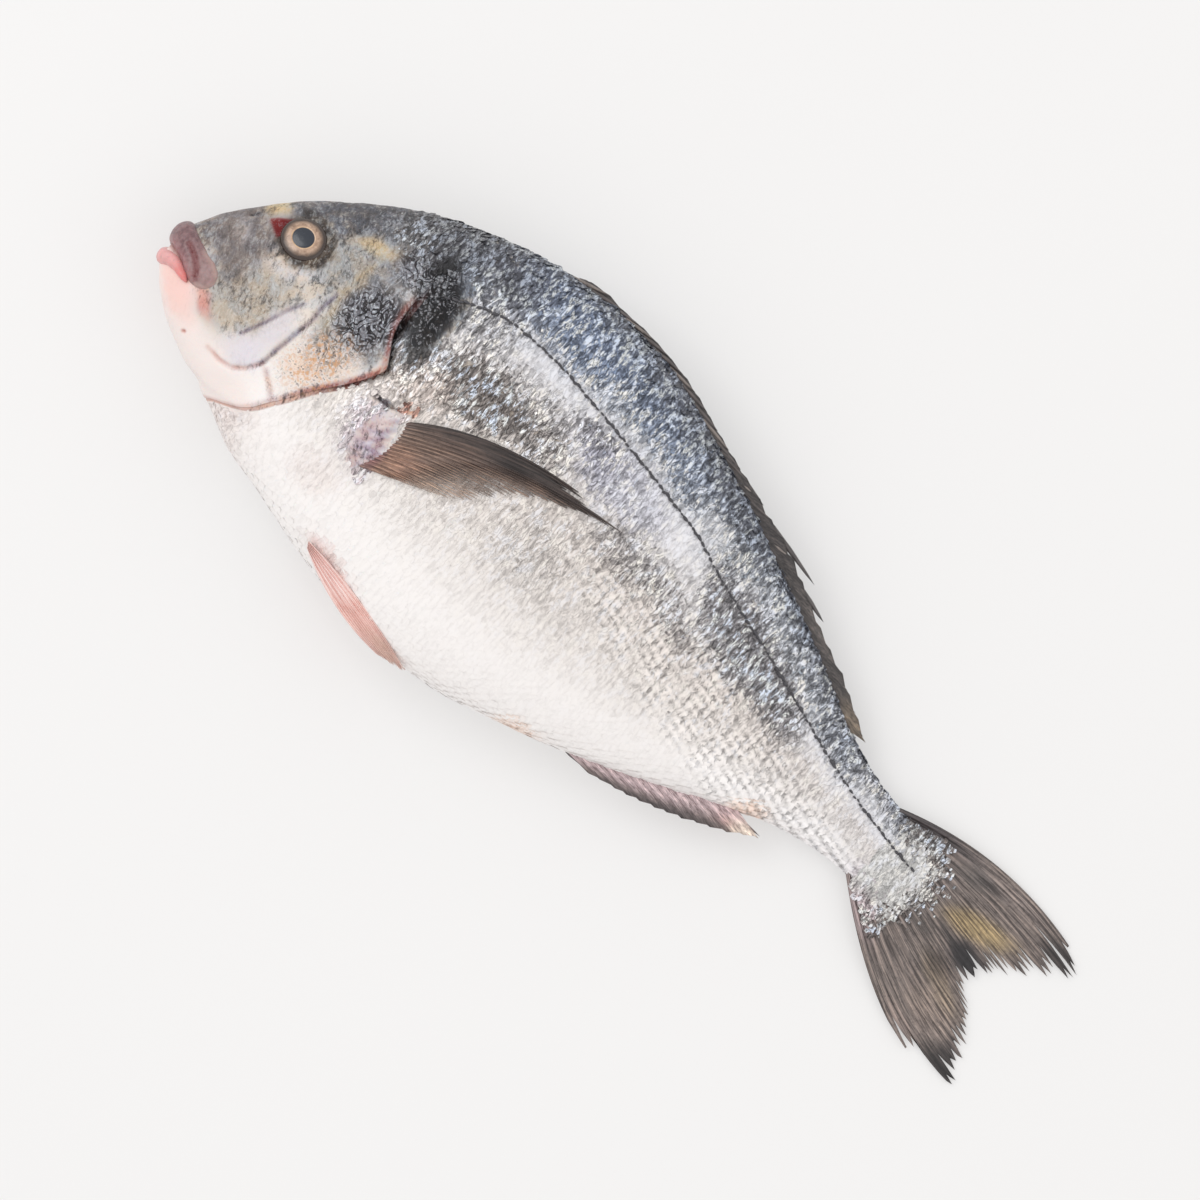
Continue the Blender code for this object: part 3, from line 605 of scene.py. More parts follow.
def moist_skin():
    """Wet skin: its own tone under mottling, dark curls, pale flecks of painted highlight, painted glints
    on the darkest skin, orange specks and a shimmer.
    """
    material, shader, flow = finish("moist_skin", 0.36, Coat_Weight=0.1, Coat_Roughness=0.1,
                                    Specular_IOR_Level=0.16, Subsurface_Weight=0.05, Subsurface_Scale=0.004)
    spot = flow.spot()
    tone = flow.tone()
    luma = flow.brightness(tone)
    scribbled, bold = flow.value("scribble"), flow.value("mottle")
    speckled = flow.value("speckle")
    leaned = {"Vector": spot, "Angle": LEAN_OF_MARKS}
    leaning = flow.node("ShaderNodeVectorRotate", leaned, rotation_type="Z_AXIS")
    fine = flow.clouds(spot, 1500, 4, 0.7)
    blot = flow.clouds(flow.stretched(leaning, (1.9, 0.75, 1.0)), 480, 5, 0.66, 0.7)
    broad = flow.clouds(spot, 170, 3, 0.6)
    level = fine * 0.3 + blot * 0.7 + broad * 0.4 - 0.2
    wet = 1 - luma.between(0.012, 0.07)
    light, dark = level.between(0.51, 0.62) * (1 - wet), level.between(0.49, 0.37)
    bold = bold * (1 - 0.75 * scribbled)
    colour = (light * bold * 0.5).mixed(tone, (0.58, 0.57, 0.55, 1))
    colour = (dark * bold * 0.85).mixed(colour, (0.035, 0.032, 0.032, 1))
    shimmer = flow.clouds(spot, 260, 3).between(0.42, 0.58)
    tint = shimmer.mixed((0.91, 0.98, 1.06, 1), (1.07, 1.0, 0.90, 1))
    colour = (bold * 0.9).mixed(colour, tint, "MULTIPLY")
    curl = flow.clouds(flow.stretched(leaning, (1.35, 0.85, 1.0)), 275, 2, 0.5, 1.6)
    beside = curl.from_level(0.5)
    # Pale flecks among the curls are painted highlights of the wet skin, some of them grey.
    highlight_fleck = beside.between(0.045, 0.075) * (0.3 + 0.7 * blot.between(0.45, 0.53))
    fleck_colour = fine.between(0.46, 0.60).mixed((0.20, 0.21, 0.24, 1), (0.62, 0.65, 0.70, 1))
    colour = (highlight_fleck * scribbled * (0.85 - 0.5 * wet)).mixed(colour, fleck_colour)
    curl_line = 1 - beside.between(0.03, 0.058)
    colour = (curl_line * scribbled * 0.95).mixed(colour, (0.010, 0.009, 0.011, 1))
    # Painted glints on the darkest skin.
    glint = beside.between(0.07, 0.10) * fine.between(0.48, 0.58)
    colour = (glint * wet * 0.52).mixed(colour, (0.42, 0.42, 0.45, 1))
    speck = flow.clouds(spot, 950, 3, 0.6)
    colour = (speck.between(0.5, 0.6) * speckled * 0.75).mixed(colour, (0.62, 0.32, 0.14, 1))
    colour = (speck.between(0.42, 0.36) * speckled * 0.8).mixed(colour, (0.06, 0.05, 0.05, 1))
    feed(material, shader, Base_Color=colour,
         Normal=flow.bump(blot * bold * 0.9 + fine * 0.2 - curl_line * scribbled * 0.5, 0.7, 0.0007),
         Roughness=0.28 + 0.3 * fine)
    return material


def strongest(spots):
    """The strongest of some soft ellipses at every point of the skin."""
    share = np.zeros(plain_skin.shape[:2])
    for centre, radii, turn, strength in spots:
        away = within(plain_skin[..., 0], plain_skin[..., 1], centre, radii, turn)
        share = np.maximum(share, strength * np.exp(-(away**4)))
    return share


LUMA = (0.2126, 0.7152, 0.0722)
skin_luma = skin_tones @ LUMA
skin_values = {"scribble": strongest(SCRIBBLED), "speckle": strongest(SPECKLED),
               "mottle": (1 - smoothstep(0.42, 0.86, skin_luma)) * (1 - 0.92 * strongest(CALM))}
laid("skin", shell("skin", placed(skin_mm), skin_tones, skin_values), moist_skin(), "sea_bream")

# The scales: some thousands of thin overlapping plates of bone on each flank and the nape, set in rows
# along the body like roof tiles. Each sits in the skin at its front edge and stands free at the rear.
# Geometry Nodes lay one plate at each place.
ROW_PITCH = [(20, 1.7), (60, 2.5), (100, 3.0), (150, 2.9), (200, 2.5), (240, 2.0), (270, 1.5)]
COLUMN_PITCH = [(20, 1.15), (60, 1.3), (100, 1.4), (150, 1.4), (200, 1.25), (240, 1.1), (270, 0.95)]
row_pitch, column_pitch = spline(ROW_PITCH), spline(COLUMN_PITCH)
FIRST_COLUMN = 22.0
LAST_COLUMN = 268.5
ROWS_EACH_WAY = 60
HEAD_CROWDING = 0.95
HEAD_ROW_HEIGHT = 40.0
# Each plate's length and width are so many times the pitch, so that it laps over the next ones.
PLATE_LENGTH = 1.9
PLATE_WIDTH = 1.42
PLATE_THICKNESS = 0.16
PLATE_TILT = 8.5
PLATE_EDGE = [(-0.5, -0.42), (-0.5, 0.42), (0.18, 0.5), (0.36, 0.3), (0.34, 0.1), (0.5, -0.05),
              (0.40, -0.3), (0.2, -0.5)]
# Where there are no scales: along the slit above the breast fin, on its root and on the dark blotch.
BARE_SLIT = [(68.5, 10), (72.5, 12.2), (77, 11.6)]
BARE_FIN_ROOT = ((76.2, 2), (4.9, 8.4), 0)
BARE_BLOTCH = ((65.7, 39), (7.8, 13.8), 4)


def ended(form, name):
    """The mesh of a form that was built face by face, with every face turned outwards."""
    bmesh.ops.recalc_face_normals(form, faces=form.faces)
    mesh = bpy.data.meshes.new(name)
    form.to_mesh(mesh)
    form.free()
    return mesh


def plate_mesh():
    """One scale of unit size: X to its free rear edge, Y across, Z out. rim is 1 at the rear edge."""
    form = bmesh.new()
    rim = form.verts.layers.float.new("rim")
    top = [form.verts.new((x, y, 0.5 - 1.0 * y * y)) for x, y in PLATE_EDGE]
    low = [form.verts.new((x * 0.95, y * 0.95, -0.5 - 0.9 * y * y)) for x, y in PLATE_EDGE]
    fold = [form.verts.new((x, y, 0.8 - 0.9 * y * y)) for x, y in ((0.08, 0.24), (0.2, -0.14))]
    for k, vertex in enumerate(top):
        vertex[rim] = low[k][rim] = max(0.0, min(1.0, 0.5 + 1.15 * vertex.co.x))
        n = (k + 1) % len(top)
        form.faces.new((top[k], top[n], low[n], low[k]))
    for vertex in fold:
        vertex[rim] = 0.5 + 1.15 * vertex.co.x
    for ring, peak in (((0, 1, 2, 3, 4), fold[0]), ((4, 5, 6, 7, 0), fold[1])):
        for first, second in zip(ring, ring[1:]):
            form.faces.new((top[second], top[first], peak))
    form.faces.new((top[0], fold[1], fold[0]))
    form.faces.new((top[4], fold[0], fold[1]))
    form.faces.new(low)
    for crease in form.edges:
        crease.smooth = all(len(face.verts) != 4 for face in crease.link_faces)
    return ended(form, "scale_plate")


def laying_tree():
    """Geometry Nodes that put a unit shape on every point, turned and sized by the point's values."""
    tree = bpy.data.node_groups.new("laid_in_rows", "GeometryNodeTree")
    sockets = {"Geometry": "Geometry", "Unit": "Object", "Size Jitter": "Float", "Turn Jitter": "Float",
               "Seed": "Int", "Finish": "Material"}
    for name, kind in sockets.items():
        tree.interface.new_socket(name, in_out="INPUT", socket_type="NodeSocket" + kind)
    tree.interface.new_socket("Geometry", in_out="OUTPUT", socket_type="NodeSocketGeometry")
    add, link = tree.nodes.new, tree.links.new
    given, result = add("NodeGroupInput"), add("NodeGroupOutput")
    shape = add("GeometryNodeObjectInfo")
    link(given.outputs["Unit"], shape.inputs["Object"])
    turn, size = add("GeometryNodeInputNamedAttribute"), add("GeometryNodeInputNamedAttribute")
    for node, name in ((turn, "turn"), (size, "size")):
        node.data_type = "FLOAT_VECTOR"
        node.inputs["Name"].default_value = name
    euler = add("FunctionNodeEulerToRotation")
    link(turn.outputs["Attribute"], euler.inputs["Euler"])
    lay = add("GeometryNodeInstanceOnPoints")
    link(given.outputs["Geometry"], lay.inputs["Points"])
    link(shape.outputs["Geometry"], lay.inputs["Instance"])
    link(euler.outputs["Rotation"], lay.inputs["Rotation"])
    link(size.outputs["Attribute"], lay.inputs["Scale"])

    def random(data_type, low, high, seed_shift):
        node = add("FunctionNodeRandomValue")
        node.data_type = data_type
        shift = add("ShaderNodeMath")
        shift.inputs[1].default_value = seed_shift
        link(given.outputs["Seed"], shift.inputs[0])
        link(shift.outputs[0], node.inputs["Seed"])
        low_socket, high_socket = [s for s in node.inputs if s.enabled and s.name in ("Min", "Max")]
        for socket, value in ((low_socket, low), (high_socket, high)):
            if isinstance(value, (int, float, tuple)):
                socket.default_value = value
            else:
                link(value, socket)
        return next(s for s in node.outputs if s.enabled)

    def scaled(socket, factors):
        node = add("ShaderNodeVectorMath")
        node.operation = "SCALE"
        node.inputs[0].default_value = factors
        link(socket, node.inputs["Scale"])
        return node.outputs[0]

    rock = add("GeometryNodeRotateInstances")
    link(lay.outputs["Instances"], rock.inputs["Instances"])
    jitter = given.outputs["Turn Jitter"]
    rocked = random("FLOAT_VECTOR", scaled(jitter, (-1, -1, -0.6)), scaled(jitter, (1, 1, 0.6)), 1)
    link(rocked, rock.inputs["Rotation"])
    grow = add("GeometryNodeScaleInstances")
    link(rock.outputs["Instances"], grow.inputs["Instances"])
    spread = given.outputs["Size Jitter"]
    one_less, one_more = add("ShaderNodeMath"), add("ShaderNodeMath")
    one_less.operation = "SUBTRACT"
    one_less.inputs[0].default_value = 1
    link(spread, one_less.inputs[1])
    one_more.inputs[0].default_value = 1
    link(spread, one_more.inputs[1])
    link(random("FLOAT", one_less.outputs[0], one_more.outputs[0], 2), grow.inputs["Scale"])
    keep = add("GeometryNodeStoreNamedAttribute")
    keep.data_type, keep.domain = "FLOAT", "INSTANCE"
    keep.inputs["Name"].default_value = "chance"
    link(grow.outputs["Instances"], keep.inputs["Geometry"])
    link(random("FLOAT", 0.0, 1.0, 3), keep.inputs["Value"])
    real, dress = add("GeometryNodeRealizeInstances"), add("GeometryNodeSetMaterial")
    link(keep.outputs["Geometry"], real.inputs["Geometry"])
    link(real.outputs["Geometry"], dress.inputs["Geometry"])
    link(given.outputs["Finish"], dress.inputs["Material"])
    link(dress.outputs["Geometry"], result.inputs["Geometry"])
    return tree


laying = laying_tree()


def points_of(mesh):
    """A mesh's points as rows of x, y, z, in metres."""
    co = np.empty(len(mesh.vertices) * 3)
    mesh.vertices.foreach_get("co", co)
    return co.reshape(-1, 3)


def strewn(name, unit_mesh, places, turns, sizes, tones, material, size_jitter, turn_jitter, seed):
    """A mesh of one unit shape laid at many places. turns are 3 by 3 axes, in columns."""
    guide_mesh = bpy.data.meshes.new(name + "_places")
    guide_mesh.from_pydata(np.asarray(places).tolist(), [], [])
    eulers = np.array([Matrix(axes.tolist()).to_euler() for axes in turns])
    for key, value in (("turn", eulers), ("size", sizes)):
        layer = guide_mesh.attributes.new(key, "FLOAT_VECTOR", "POINT")
        layer.data.foreach_set("vector", np.asarray(value, float).ravel())
    give_tones(guide_mesh, tones)
    guide = bpy.data.objects.new(name + "_places", guide_mesh)
    shape = bpy.data.objects.new(name + "_unit", unit_mesh)
    for helper in (guide, shape):
        bpy.context.scene.collection.objects.link(helper)
    lay = guide.modifiers.new("lay", "NODES")
    lay.node_group = laying
    values = {"Unit": shape, "Size Jitter": size_jitter, "Turn Jitter": turn_jitter, "Seed": seed,
              "Finish": material}
    for item in laying.interface.items_tree:
        if item.name in values and item.in_out == "INPUT":
            lay[item.identifier] = values[item.name]
    bpy.context.view_layer.update()
    graph = bpy.context.evaluated_depsgraph_get()
    whole = guide.evaluated_get(graph)
    mesh = bpy.data.meshes.new_from_object(whole, preserve_all_data_layers=True, depsgraph=graph)
    guide.modifiers.clear()
    for helper in (guide, shape):
        bpy.data.objects.remove(helper)
    mesh.name = name
    points = points_of(mesh)
    points[:, 2] = np.maximum(points[:, 2], 0.02 * MM)
    mesh.vertices.foreach_set("co", points.ravel())
    mesh.update()
    mesh.shade_smooth()
    return mesh


skin_m = placed(skin_mm)
true_normals = across(skin_m)
tail_ward = np.gradient(skin_m, axis=0)
tail_ward = unit(tail_ward - true_normals * (tail_ward * true_normals).sum(-1, keepdims=True))


def on_skin(ring, turn):
    """The skin at a ring number and an angle, with fractions: place, normal, way to the tail, and the
    same place on the plain skin in millimetres."""
    column = np.mod(turn / (2 * np.pi) * AROUND, AROUND)
    r0, c0 = np.clip(ring.astype(int), 0, len(skin_m) - 2), column.astype(int)
    r, c, c1 = (ring - r0)[:, None], (column - c0)[:, None], (c0 + 1) % AROUND
    out = []
    for grid in (skin_m, true_normals, tail_ward, plain_skin):
        near = grid[r0, c0] * (1 - c) + grid[r0, c1] * c
        far = grid[r0 + 1, c0] * (1 - c) + grid[r0 + 1, c1] * c
        out.append(near * (1 - r) + far * r)
    return out


def scale_places(side):
    """Where the scales of one flank sit: ring numbers and angles, in rows up and down from the lateral
    line, with every other column half a row higher."""
    rings, turns = [], []
    angles = np.linspace(-0.5 * np.pi, 0.5 * np.pi, 160)
    columns = np.where(side > 0, angles, np.pi - angles) / (2 * np.pi) * AROUND
    columns = np.mod(columns, AROUND).astype(int)
    behind_cover = np.arange(HEAD_RINGS + len(TUCK), len(ring_station))
    usable = np.concatenate([np.arange(HEAD_RINGS), behind_cover])
    station, count = FIRST_COLUMN, 0
    while station < LAST_COLUMN:
        on_body = station > GILL_STATION
        ring = np.interp(station, ring_station[usable, 0], usable)
        line = skin_mm[int(ring), columns]
        steps = np.linalg.norm(np.diff(line, axis=0), axis=1)
        arc = np.concatenate([[0], np.cumsum(steps)])
        first_row = lateral(max(station, LATERAL_LINE[0][0])) if on_body else HEAD_ROW_HEIGHT
        start = np.interp(first_row, line[:, 1], arc)
        row = np.arange(-ROWS_EACH_WAY, ROWS_EACH_WAY) + 0.5 * (count % 2)
        reach = start + row * row_pitch(station)
        keep = (reach > 0.2) & (reach < arc[-1] - 0.1)
        turn = np.interp(reach[keep], arc, angles)
        rings.append(np.full(keep.sum(), ring))
        turns.append(turn if side > 0 else np.pi - turn)
        station += column_pitch(station) * (1.0 if on_body else HEAD_CROWDING)
        count += 1
    return np.concatenate(rings), np.concatenate(turns)


def scaled_here(x, y):
    """How fully grown the scales are: 1 on the flank, less towards the head, 0 where there are none."""
    past_cover = x - gill_edge(y) - 1.6 * (1 - smoothstep(-4, 14, y))
    flank = smoothstep(0.6, 2.4, past_cover) * (smoothstep(0, 3, from_path(x, y, BARE_SLIT)[0]) + (x > 76))
    nape = smoothstep(0, 5, y - 43 - 0.1 * (x - 46)) * smoothstep(40, 52, x)
    fin_root = smoothstep(0.9, 1.3, within(x, y, *BARE_FIN_ROOT))
    blotch = smoothstep(0.8, 1.1, within(x, y, *BARE_BLOTCH))
    return np.minimum(np.maximum(flank, nape), 1) * fin_root * blotch


def scale_silver():
    """Silvery plates: upright dashes of painted highlight and painted shade, bluer and warmer in places,
    with painted shade in the creases and on each plate's front beneath the plate ahead.
    """
    material, shader, flow = finish("scale_silver", 0.28, 0.35, Coat_Weight=0.25, Coat_Roughness=0.1,
                                    Specular_IOR_Level=0.35)
    tone = flow.tone()
    chance = flow.value("chance")
    rim = flow.value("rim")
    spot = flow.spot()
    luma = flow.brightness(tone)
    bold = 1 - luma.between(0.5, 0.84) * 0.93
    lined = 1 - luma.between(0.56, 0.82)
    crumple = flow.clouds(flow.stretched(spot, (2.4, 0.78, 1.0)), 400, 3, 0.55, 0.5)
    area = flow.clouds(flow.stretched(spot, (1.0, 0.8, 1.0)), 110, 3, 0.6)
    wave = flow.clouds(flow.stretched(spot, (2.3, 0.85, 1.0)), 290, 3, 0.6, 1.4)
    beside = wave.from_level(0.5)
    crease = 1 - beside.between(0.008, 0.04)
    hue = flow.clouds(spot, 240, 3)
    level = crumple * 1.08 + chance * 0.14 + area * 0.2 - 0.214
    lit, dim = level.between(0.50, 0.575), level.between(0.46, 0.36)
    glint = luma.between(0.04, 0.26)
    warm = luma.between(0.2, 0.5).mixed((0.86, 0.90, 0.90, 1), (0.98, 0.94, 0.87, 1))
    blue = luma.between(0.25, 0.45).mixed((0.76, 0.85, 1.0, 1), (0.88, 0.90, 0.97, 1))
    cool = hue.between(0.42, 0.58).mixed(blue, warm)
    bright = flow.blended(0.86, tone, cool)
    deep = flow.blended(1.0, tone, (0.17, 0.165, 0.17, 1), "MULTIPLY")
    # Painted highlights on the lit dashes and painted shade on the dim ones.
    colour = (lit * bold * glint * 0.95).mixed(tone, bright)
    colour = (dim * bold * 0.7).mixed(colour, deep)
    # Painted shadow on each plate's front, where the plate ahead laps over it.
    lap_shadow = (rim + crumple * 0.3).between(0.62, 0.50) * 0.4
    colour = (lap_shadow * bold).mixed(colour, deep)
    # Thin wavy lines of painted shade in the creases, mostly on the darker skin.
    colour = (crease * lined * (0.35 + 0.45 * bold)).mixed(colour, deep)
    feed(material, shader, Base_Color=colour,
         Normal=flow.bump(crumple * (0.12 + 0.88 * bold) - crease * lined * 0.3, 0.8, 0.0008),
         Metallic=0.4 * bold * glint,
         Roughness=0.24 + 0.2 * crumple)
    return material


BAND_PITCH = 2.6


def with_bands(mesh):
    """Shades the scales in soft bands that follow the lateral line along the rear lower flank."""
    points = points_of(mesh)
    x, y = points[:, 0] / MM + BOX_CENTRE_X, points[:, 1] / MM + BOX_CENTRE_Y
    down = lateral(x) - y
    share = smoothstep(120, 160, x) * (1 - smoothstep(245, 260, x))
    share = share * smoothstep(6, 14, down) * (1 - smoothstep(30, 42, down))
    layer = mesh.attributes["tone"].data
    colours = np.empty(len(layer) * 4)
    layer.foreach_get("color", colours)
    colours = colours.reshape(-1, 4)
    colours[:, :3] *= (1 + 0.17 * share * np.cos(2 * np.pi * down / BAND_PITCH))[:, None]
    layer.foreach_set("color", colours.ravel())
    return mesh


def plate_axes(along, normal, tilt, roll=0.0):
    """Axes of plates, in columns: X along the body with the rear edge raised, Y across, Z outwards."""
    x_axis = along * np.cos(tilt) + normal * np.sin(tilt)
    y_axis = np.cross(normal, along)
    y_axis = y_axis * np.cos(roll) + np.cross(x_axis, y_axis) * np.sin(roll)
    return np.stack([x_axis, y_axis, np.cross(x_axis, y_axis)], 2)


def scale_laying(side):
    """Places, axes, sizes in metres and colours of the scales of one flank. The flat white belly has
    smooth even scales; the darker skin above has bolder ones that stand at small odd angles."""
    ring, turn = scale_places(side)
    ring = ring + 0.12 * chance.standard_normal(len(ring))
    turn = turn + 0.0035 * chance.standard_normal(len(turn))
    place, normal, along, flat = on_skin(ring, turn)
    tones = skin_tone(*flat.T)
    bold = 1 - smoothstep(0.5, 0.86, tones @ LUMA)
    grown = scaled_here(flat[:, 0], flat[:, 1])
    good = grown > 0.15
    place, normal, along, flat = place[good], unit(normal[good]), unit(along[good]), flat[good]
    tones, bold, grown = tones[good], bold[good], grown[good]
    x, y = flat[:, 0], flat[:, 1]
    count = len(flat)
    banded = smoothstep(110, 150, x) * smoothstep(2, 14, lateral(x) - y)
    skew = ((0.02 + 0.15 * bold) * chance.standard_normal(count))[:, None]
    along = along * np.cos(skew) + np.cross(normal, along) * np.sin(skew)
    tilt = np.radians(PLATE_TILT) * (0.1 + 0.9 * bold) * (1 + 0.4 * bold * chance.standard_normal(count))
    tilt = np.clip(tilt * (1 - 0.6 * banded), 0.008, 0.26)[:, None]
    roll = (0.075 * bold * chance.standard_normal(count))[:, None]
    axes = plate_axes(along, normal, tilt, roll)
    length, width = PLATE_LENGTH * column_pitch(x), PLATE_WIDTH * row_pitch(x)
    size = np.stack([length, width, PLATE_THICKNESS * (0.3 + 0.7 * bold)], 1)
    size[:, :2] *= (1 + (0.03 + 0.11 * bold) * chance.standard_normal(count))[:, None]
    size *= grown[:, None] ** 0.5
    return place, axes, size * MM, tones


plate = plate_mesh()
scale_finish = scale_silver()
chance = np.random.default_rng(12)
for label, side in (("left", 1), ("right", -1)):
    mesh = strewn(f"scales_{label}", plate, *scale_laying(side), scale_finish, size_jitter=0.03,
                  turn_jitter=0.006, seed=5 + side)
    laid(f"scales_{label}", with_bands(mesh), scale_finish)

# The lateral line: one row of pierced scales from the gill cover to the tail, seen as a thin broken
# dark line that dips towards the tail root. Each dark tube is one small rod laid on the scales.
DASH_SPAN = (66, 262)
DASH_PITCH = 1.55
DASH_SIZE = (1.7, 0.78, 0.4)
DASH_OUT = 0.17
DASH_TONE = (74, 72, 78)


def rod_mesh(sides=6, taper=0.35):
    """A unit rod along X that narrows at both ends, closed by its two pointed tips."""
    form = bmesh.new()
    rim = form.verts.layers.float.new("rim")
    stages = [(-0.34, 0.42), (0.0, 0.5), (0.34, 0.5 * (1 - taper))]
    loops = []
    for x, radius in stages:
        turns = [2 * math.pi * k / sides for k in range(sides)]
        loops.append([form.verts.new((x, radius * math.cos(a), radius * math.sin(a))) for a in turns])
    ends = [form.verts.new((-0.5, 0, 0)), form.verts.new((0.5, 0, 0))]
    for k in range(sides):
        n = (k + 1) % sides
        form.faces.new((ends[0], loops[0][n], loops[0][k]))
        form.faces.new((ends[1], loops[2][k], loops[2][n]))
        for first, second in zip(loops, loops[1:]):
            form.faces.new((first[k], first[n], second[n], second[k]))
    for vertex in form.verts:
        vertex[rim] = vertex.co.x + 0.5
    return ended(form, "unit_rod")


def line_tubes():
    """Dark wet tubes with a fine black grain."""
    material, shader, flow = finish("line_tubes", 0.4, Coat_Weight=0.3)
    tone = flow.tone()
    fine = flow.clouds(flow.spot(), 1500, 3)
    feed(material, shader, Base_Color=(fine * 0.9).mixed(tone, (0.012, 0.012, 0.014, 1)),
         Normal=flow.bump(fine, 0.4, 0.0003))
    return material


def rod_axes(along, outward):
    """Axes of rods, in columns: X along each rod and Z as near to outward as it can be."""
    out = np.tile(outward, (len(along), 1))
    out = unit(out - along * (along * out).sum(1, keepdims=True))
    return np.stack([along, np.cross(out, along), out], 2)


def on_flank(x, y, side, out):
    """A place on the plain flank of one side, in metres, so far out from its skin."""
    return placed(np.stack([x, y, middle(x) + side * (flank_height(x, y) + out)], 1))


tubes = line_tubes()
dash_x = np.arange(*DASH_SPAN, DASH_PITCH)
dash_x = dash_x + 0.25 * np.sin(dash_x * 7.1)
dash_y = lateral(dash_x) + 0.16 * np.sin(dash_x * 2.7)
ahead_x = dash_x + 1.0
places, axes = [], []
for side in (1, -1):
    here = on_flank(dash_x, dash_y, side, DASH_OUT)
    there = on_flank(ahead_x, lateral(ahead_x), side, DASH_OUT)
    places.append(here)
    axes.append(rod_axes(unit(there - here), (0.0, 0.0, float(side))))
places, axes = np.concatenate(places), np.concatenate(axes)
sizes = np.tile(np.array(DASH_SIZE) * MM, (len(places), 1))
tones = np.tile(linear(DASH_TONE), (len(places), 1))
dashes = strewn("lateral_line", rod_mesh(), places, axes, sizes, tones, tubes, size_jitter=0.3,
                turn_jitter=0.15, seed=3)
laid("lateral_line", dashes, tubes)

# The lips: firm wet flesh, mauve above and salmon pink below. Each runs round the snout in one roll.
# The upper one widens over the mouth's corner into a lobe, marked off by a dark red fold.
# Each row: x, y, distance from the middle plane, half height, half thickness.
UPPER_LIP = [(1.1, 8.5, 0, 4.2, 3.1), (1.6, 8.4, 3.4, 4.1, 3.0), (3.6, 7.7, 6.3, 3.8, 2.8),
             (6.6, 6.7, 8.4, 3.7, 2.4), (9.6, 5.3, 10.0, 3.9, 2.0), (12.4, 4.5, 11.0, 4.2, 1.7),
             (15.0, 4.2, 11.8, 3.3, 1.5), (17.0, 4.0, 12.3, 1.6, 1.1)]
LOWER_LIP = [(1.2, 1.2, 0, 2.5, 2.2), (1.7, 1.2, 3.1, 2.4, 2.2), (3.6, 1.6, 6.2, 2.0, 2.1),
             (5.6, 1.5, 8.0, 1.7, 2.0), (7.8, 0.8, 9.5, 1.3, 1.7), (10.6, -0.2, 10.6, 0.8, 1.2)]
LIP_FOLD = [(4.4, 8.0), (6.0, 7.4), (8, 6.2), (10.5, 4), (11.8, 2.1)]
LOBE_RIM = [(9, 9.2), (13, 8.0), (16, 6.2), (17, 4.4), (15.6, 1.8), (13, 0.8)]
LOW_EDGE = [(0, 5.4), (5, 3.9), (10, 1.4)]
# Lines of colour on the upper lip: path, half width, colour, strength.
LIP_LINES = [(LOBE_RIM, 0.9, (200, 176, 164), 0.45), (LOW_EDGE, 1.3, (164, 112, 114), 0.6),
             (LIP_FOLD, 0.8, (104, 46, 48), 0.9)]
LIP_SIDES = 56


def roll_rings(points, sides, wrinkle, seed, folds=()):
    """Rings of a fleshy roll along rows of x, y, z, half height and half thickness, with blunt ends."""
    points = np.asarray(points, float)
    share = np.linspace(0, 1, len(points))
    fine_share = np.linspace(0, 1, 12 * len(points))
    rows = np.stack([spline(list(zip(share, points[:, k])))(fine_share) for k in range(5)], 1)
    centre, high, thick = rows[:, :3], rows[:, 3], rows[:, 4]
    along = unit(np.gradient(centre, axis=0))
    first = unit(np.cross((0.0, 1.0, 0.0), along))
    second = np.cross(along, first)
    turns = np.linspace(0, 2 * np.pi, sides, endpoint=False)
    away = first[:, None] * np.cos(turns)[None, :, None]
    rise = second[:, None] * np.sin(turns)[None, :, None]
    steps = np.arange(len(centre))
    ends = np.minimum(1, np.minimum(steps, steps[::-1]) / 7 + 0.1) ** 0.5
    rings = centre[:, None] + away * (thick * ends)[:, None, None] + rise * (high * ends)[:, None, None]
    x, y, z = np.moveaxis(rings, -1, 0)
    raised = wrinkle * grain(x, y, z, 1.3, seed) + 1.6 * wrinkle * grain(x, y, z, 3.0, seed + 1)
    on_side = np.abs(z - middle(x)) > 4
    for fold in folds:
        raised = raised - 0.6 * np.exp(-((from_path(x, y, fold)[0] / 0.8) ** 2)) * on_side
    return rings + (away + rise) * raised[..., None]


def lip_points(table, side):
    """The rows of one half of a lip, with each distance from the middle plane made a place."""
    return [(x, y, middle(x) + side * out, high, thick) for x, y, out, high, thick in table]


def lip_flesh():
    """Wet flesh, paler and darker in small blots, with fine pores."""
    material, shader, flow = finish("lip_flesh", 0.32, Coat_Weight=0.12, Coat_Roughness=0.15,
                                    Specular_IOR_Level=0.25, Subsurface_Weight=0.12, Subsurface_Scale=0.003)
    spot, tone = flow.spot(), flow.tone()
    blots = flow.clouds(spot, 900, 4, 0.6)
    pores = flow.cells(spot, 1600)
    colour = (blots.between(0.35, 0.75) * 0.35).mixed(tone, (0.55, 0.36, 0.36, 1))
    colour = (blots.between(0.55, 0.8) * 0.3).mixed(colour, (0.20, 0.14, 0.15, 1))
    feed(material, shader, Base_Color=colour, Normal=flow.bump(blots * 0.6 + pores * 0.5, 0.35, 0.0004),
         Roughness=0.26 + 0.2 * blots)
    return material


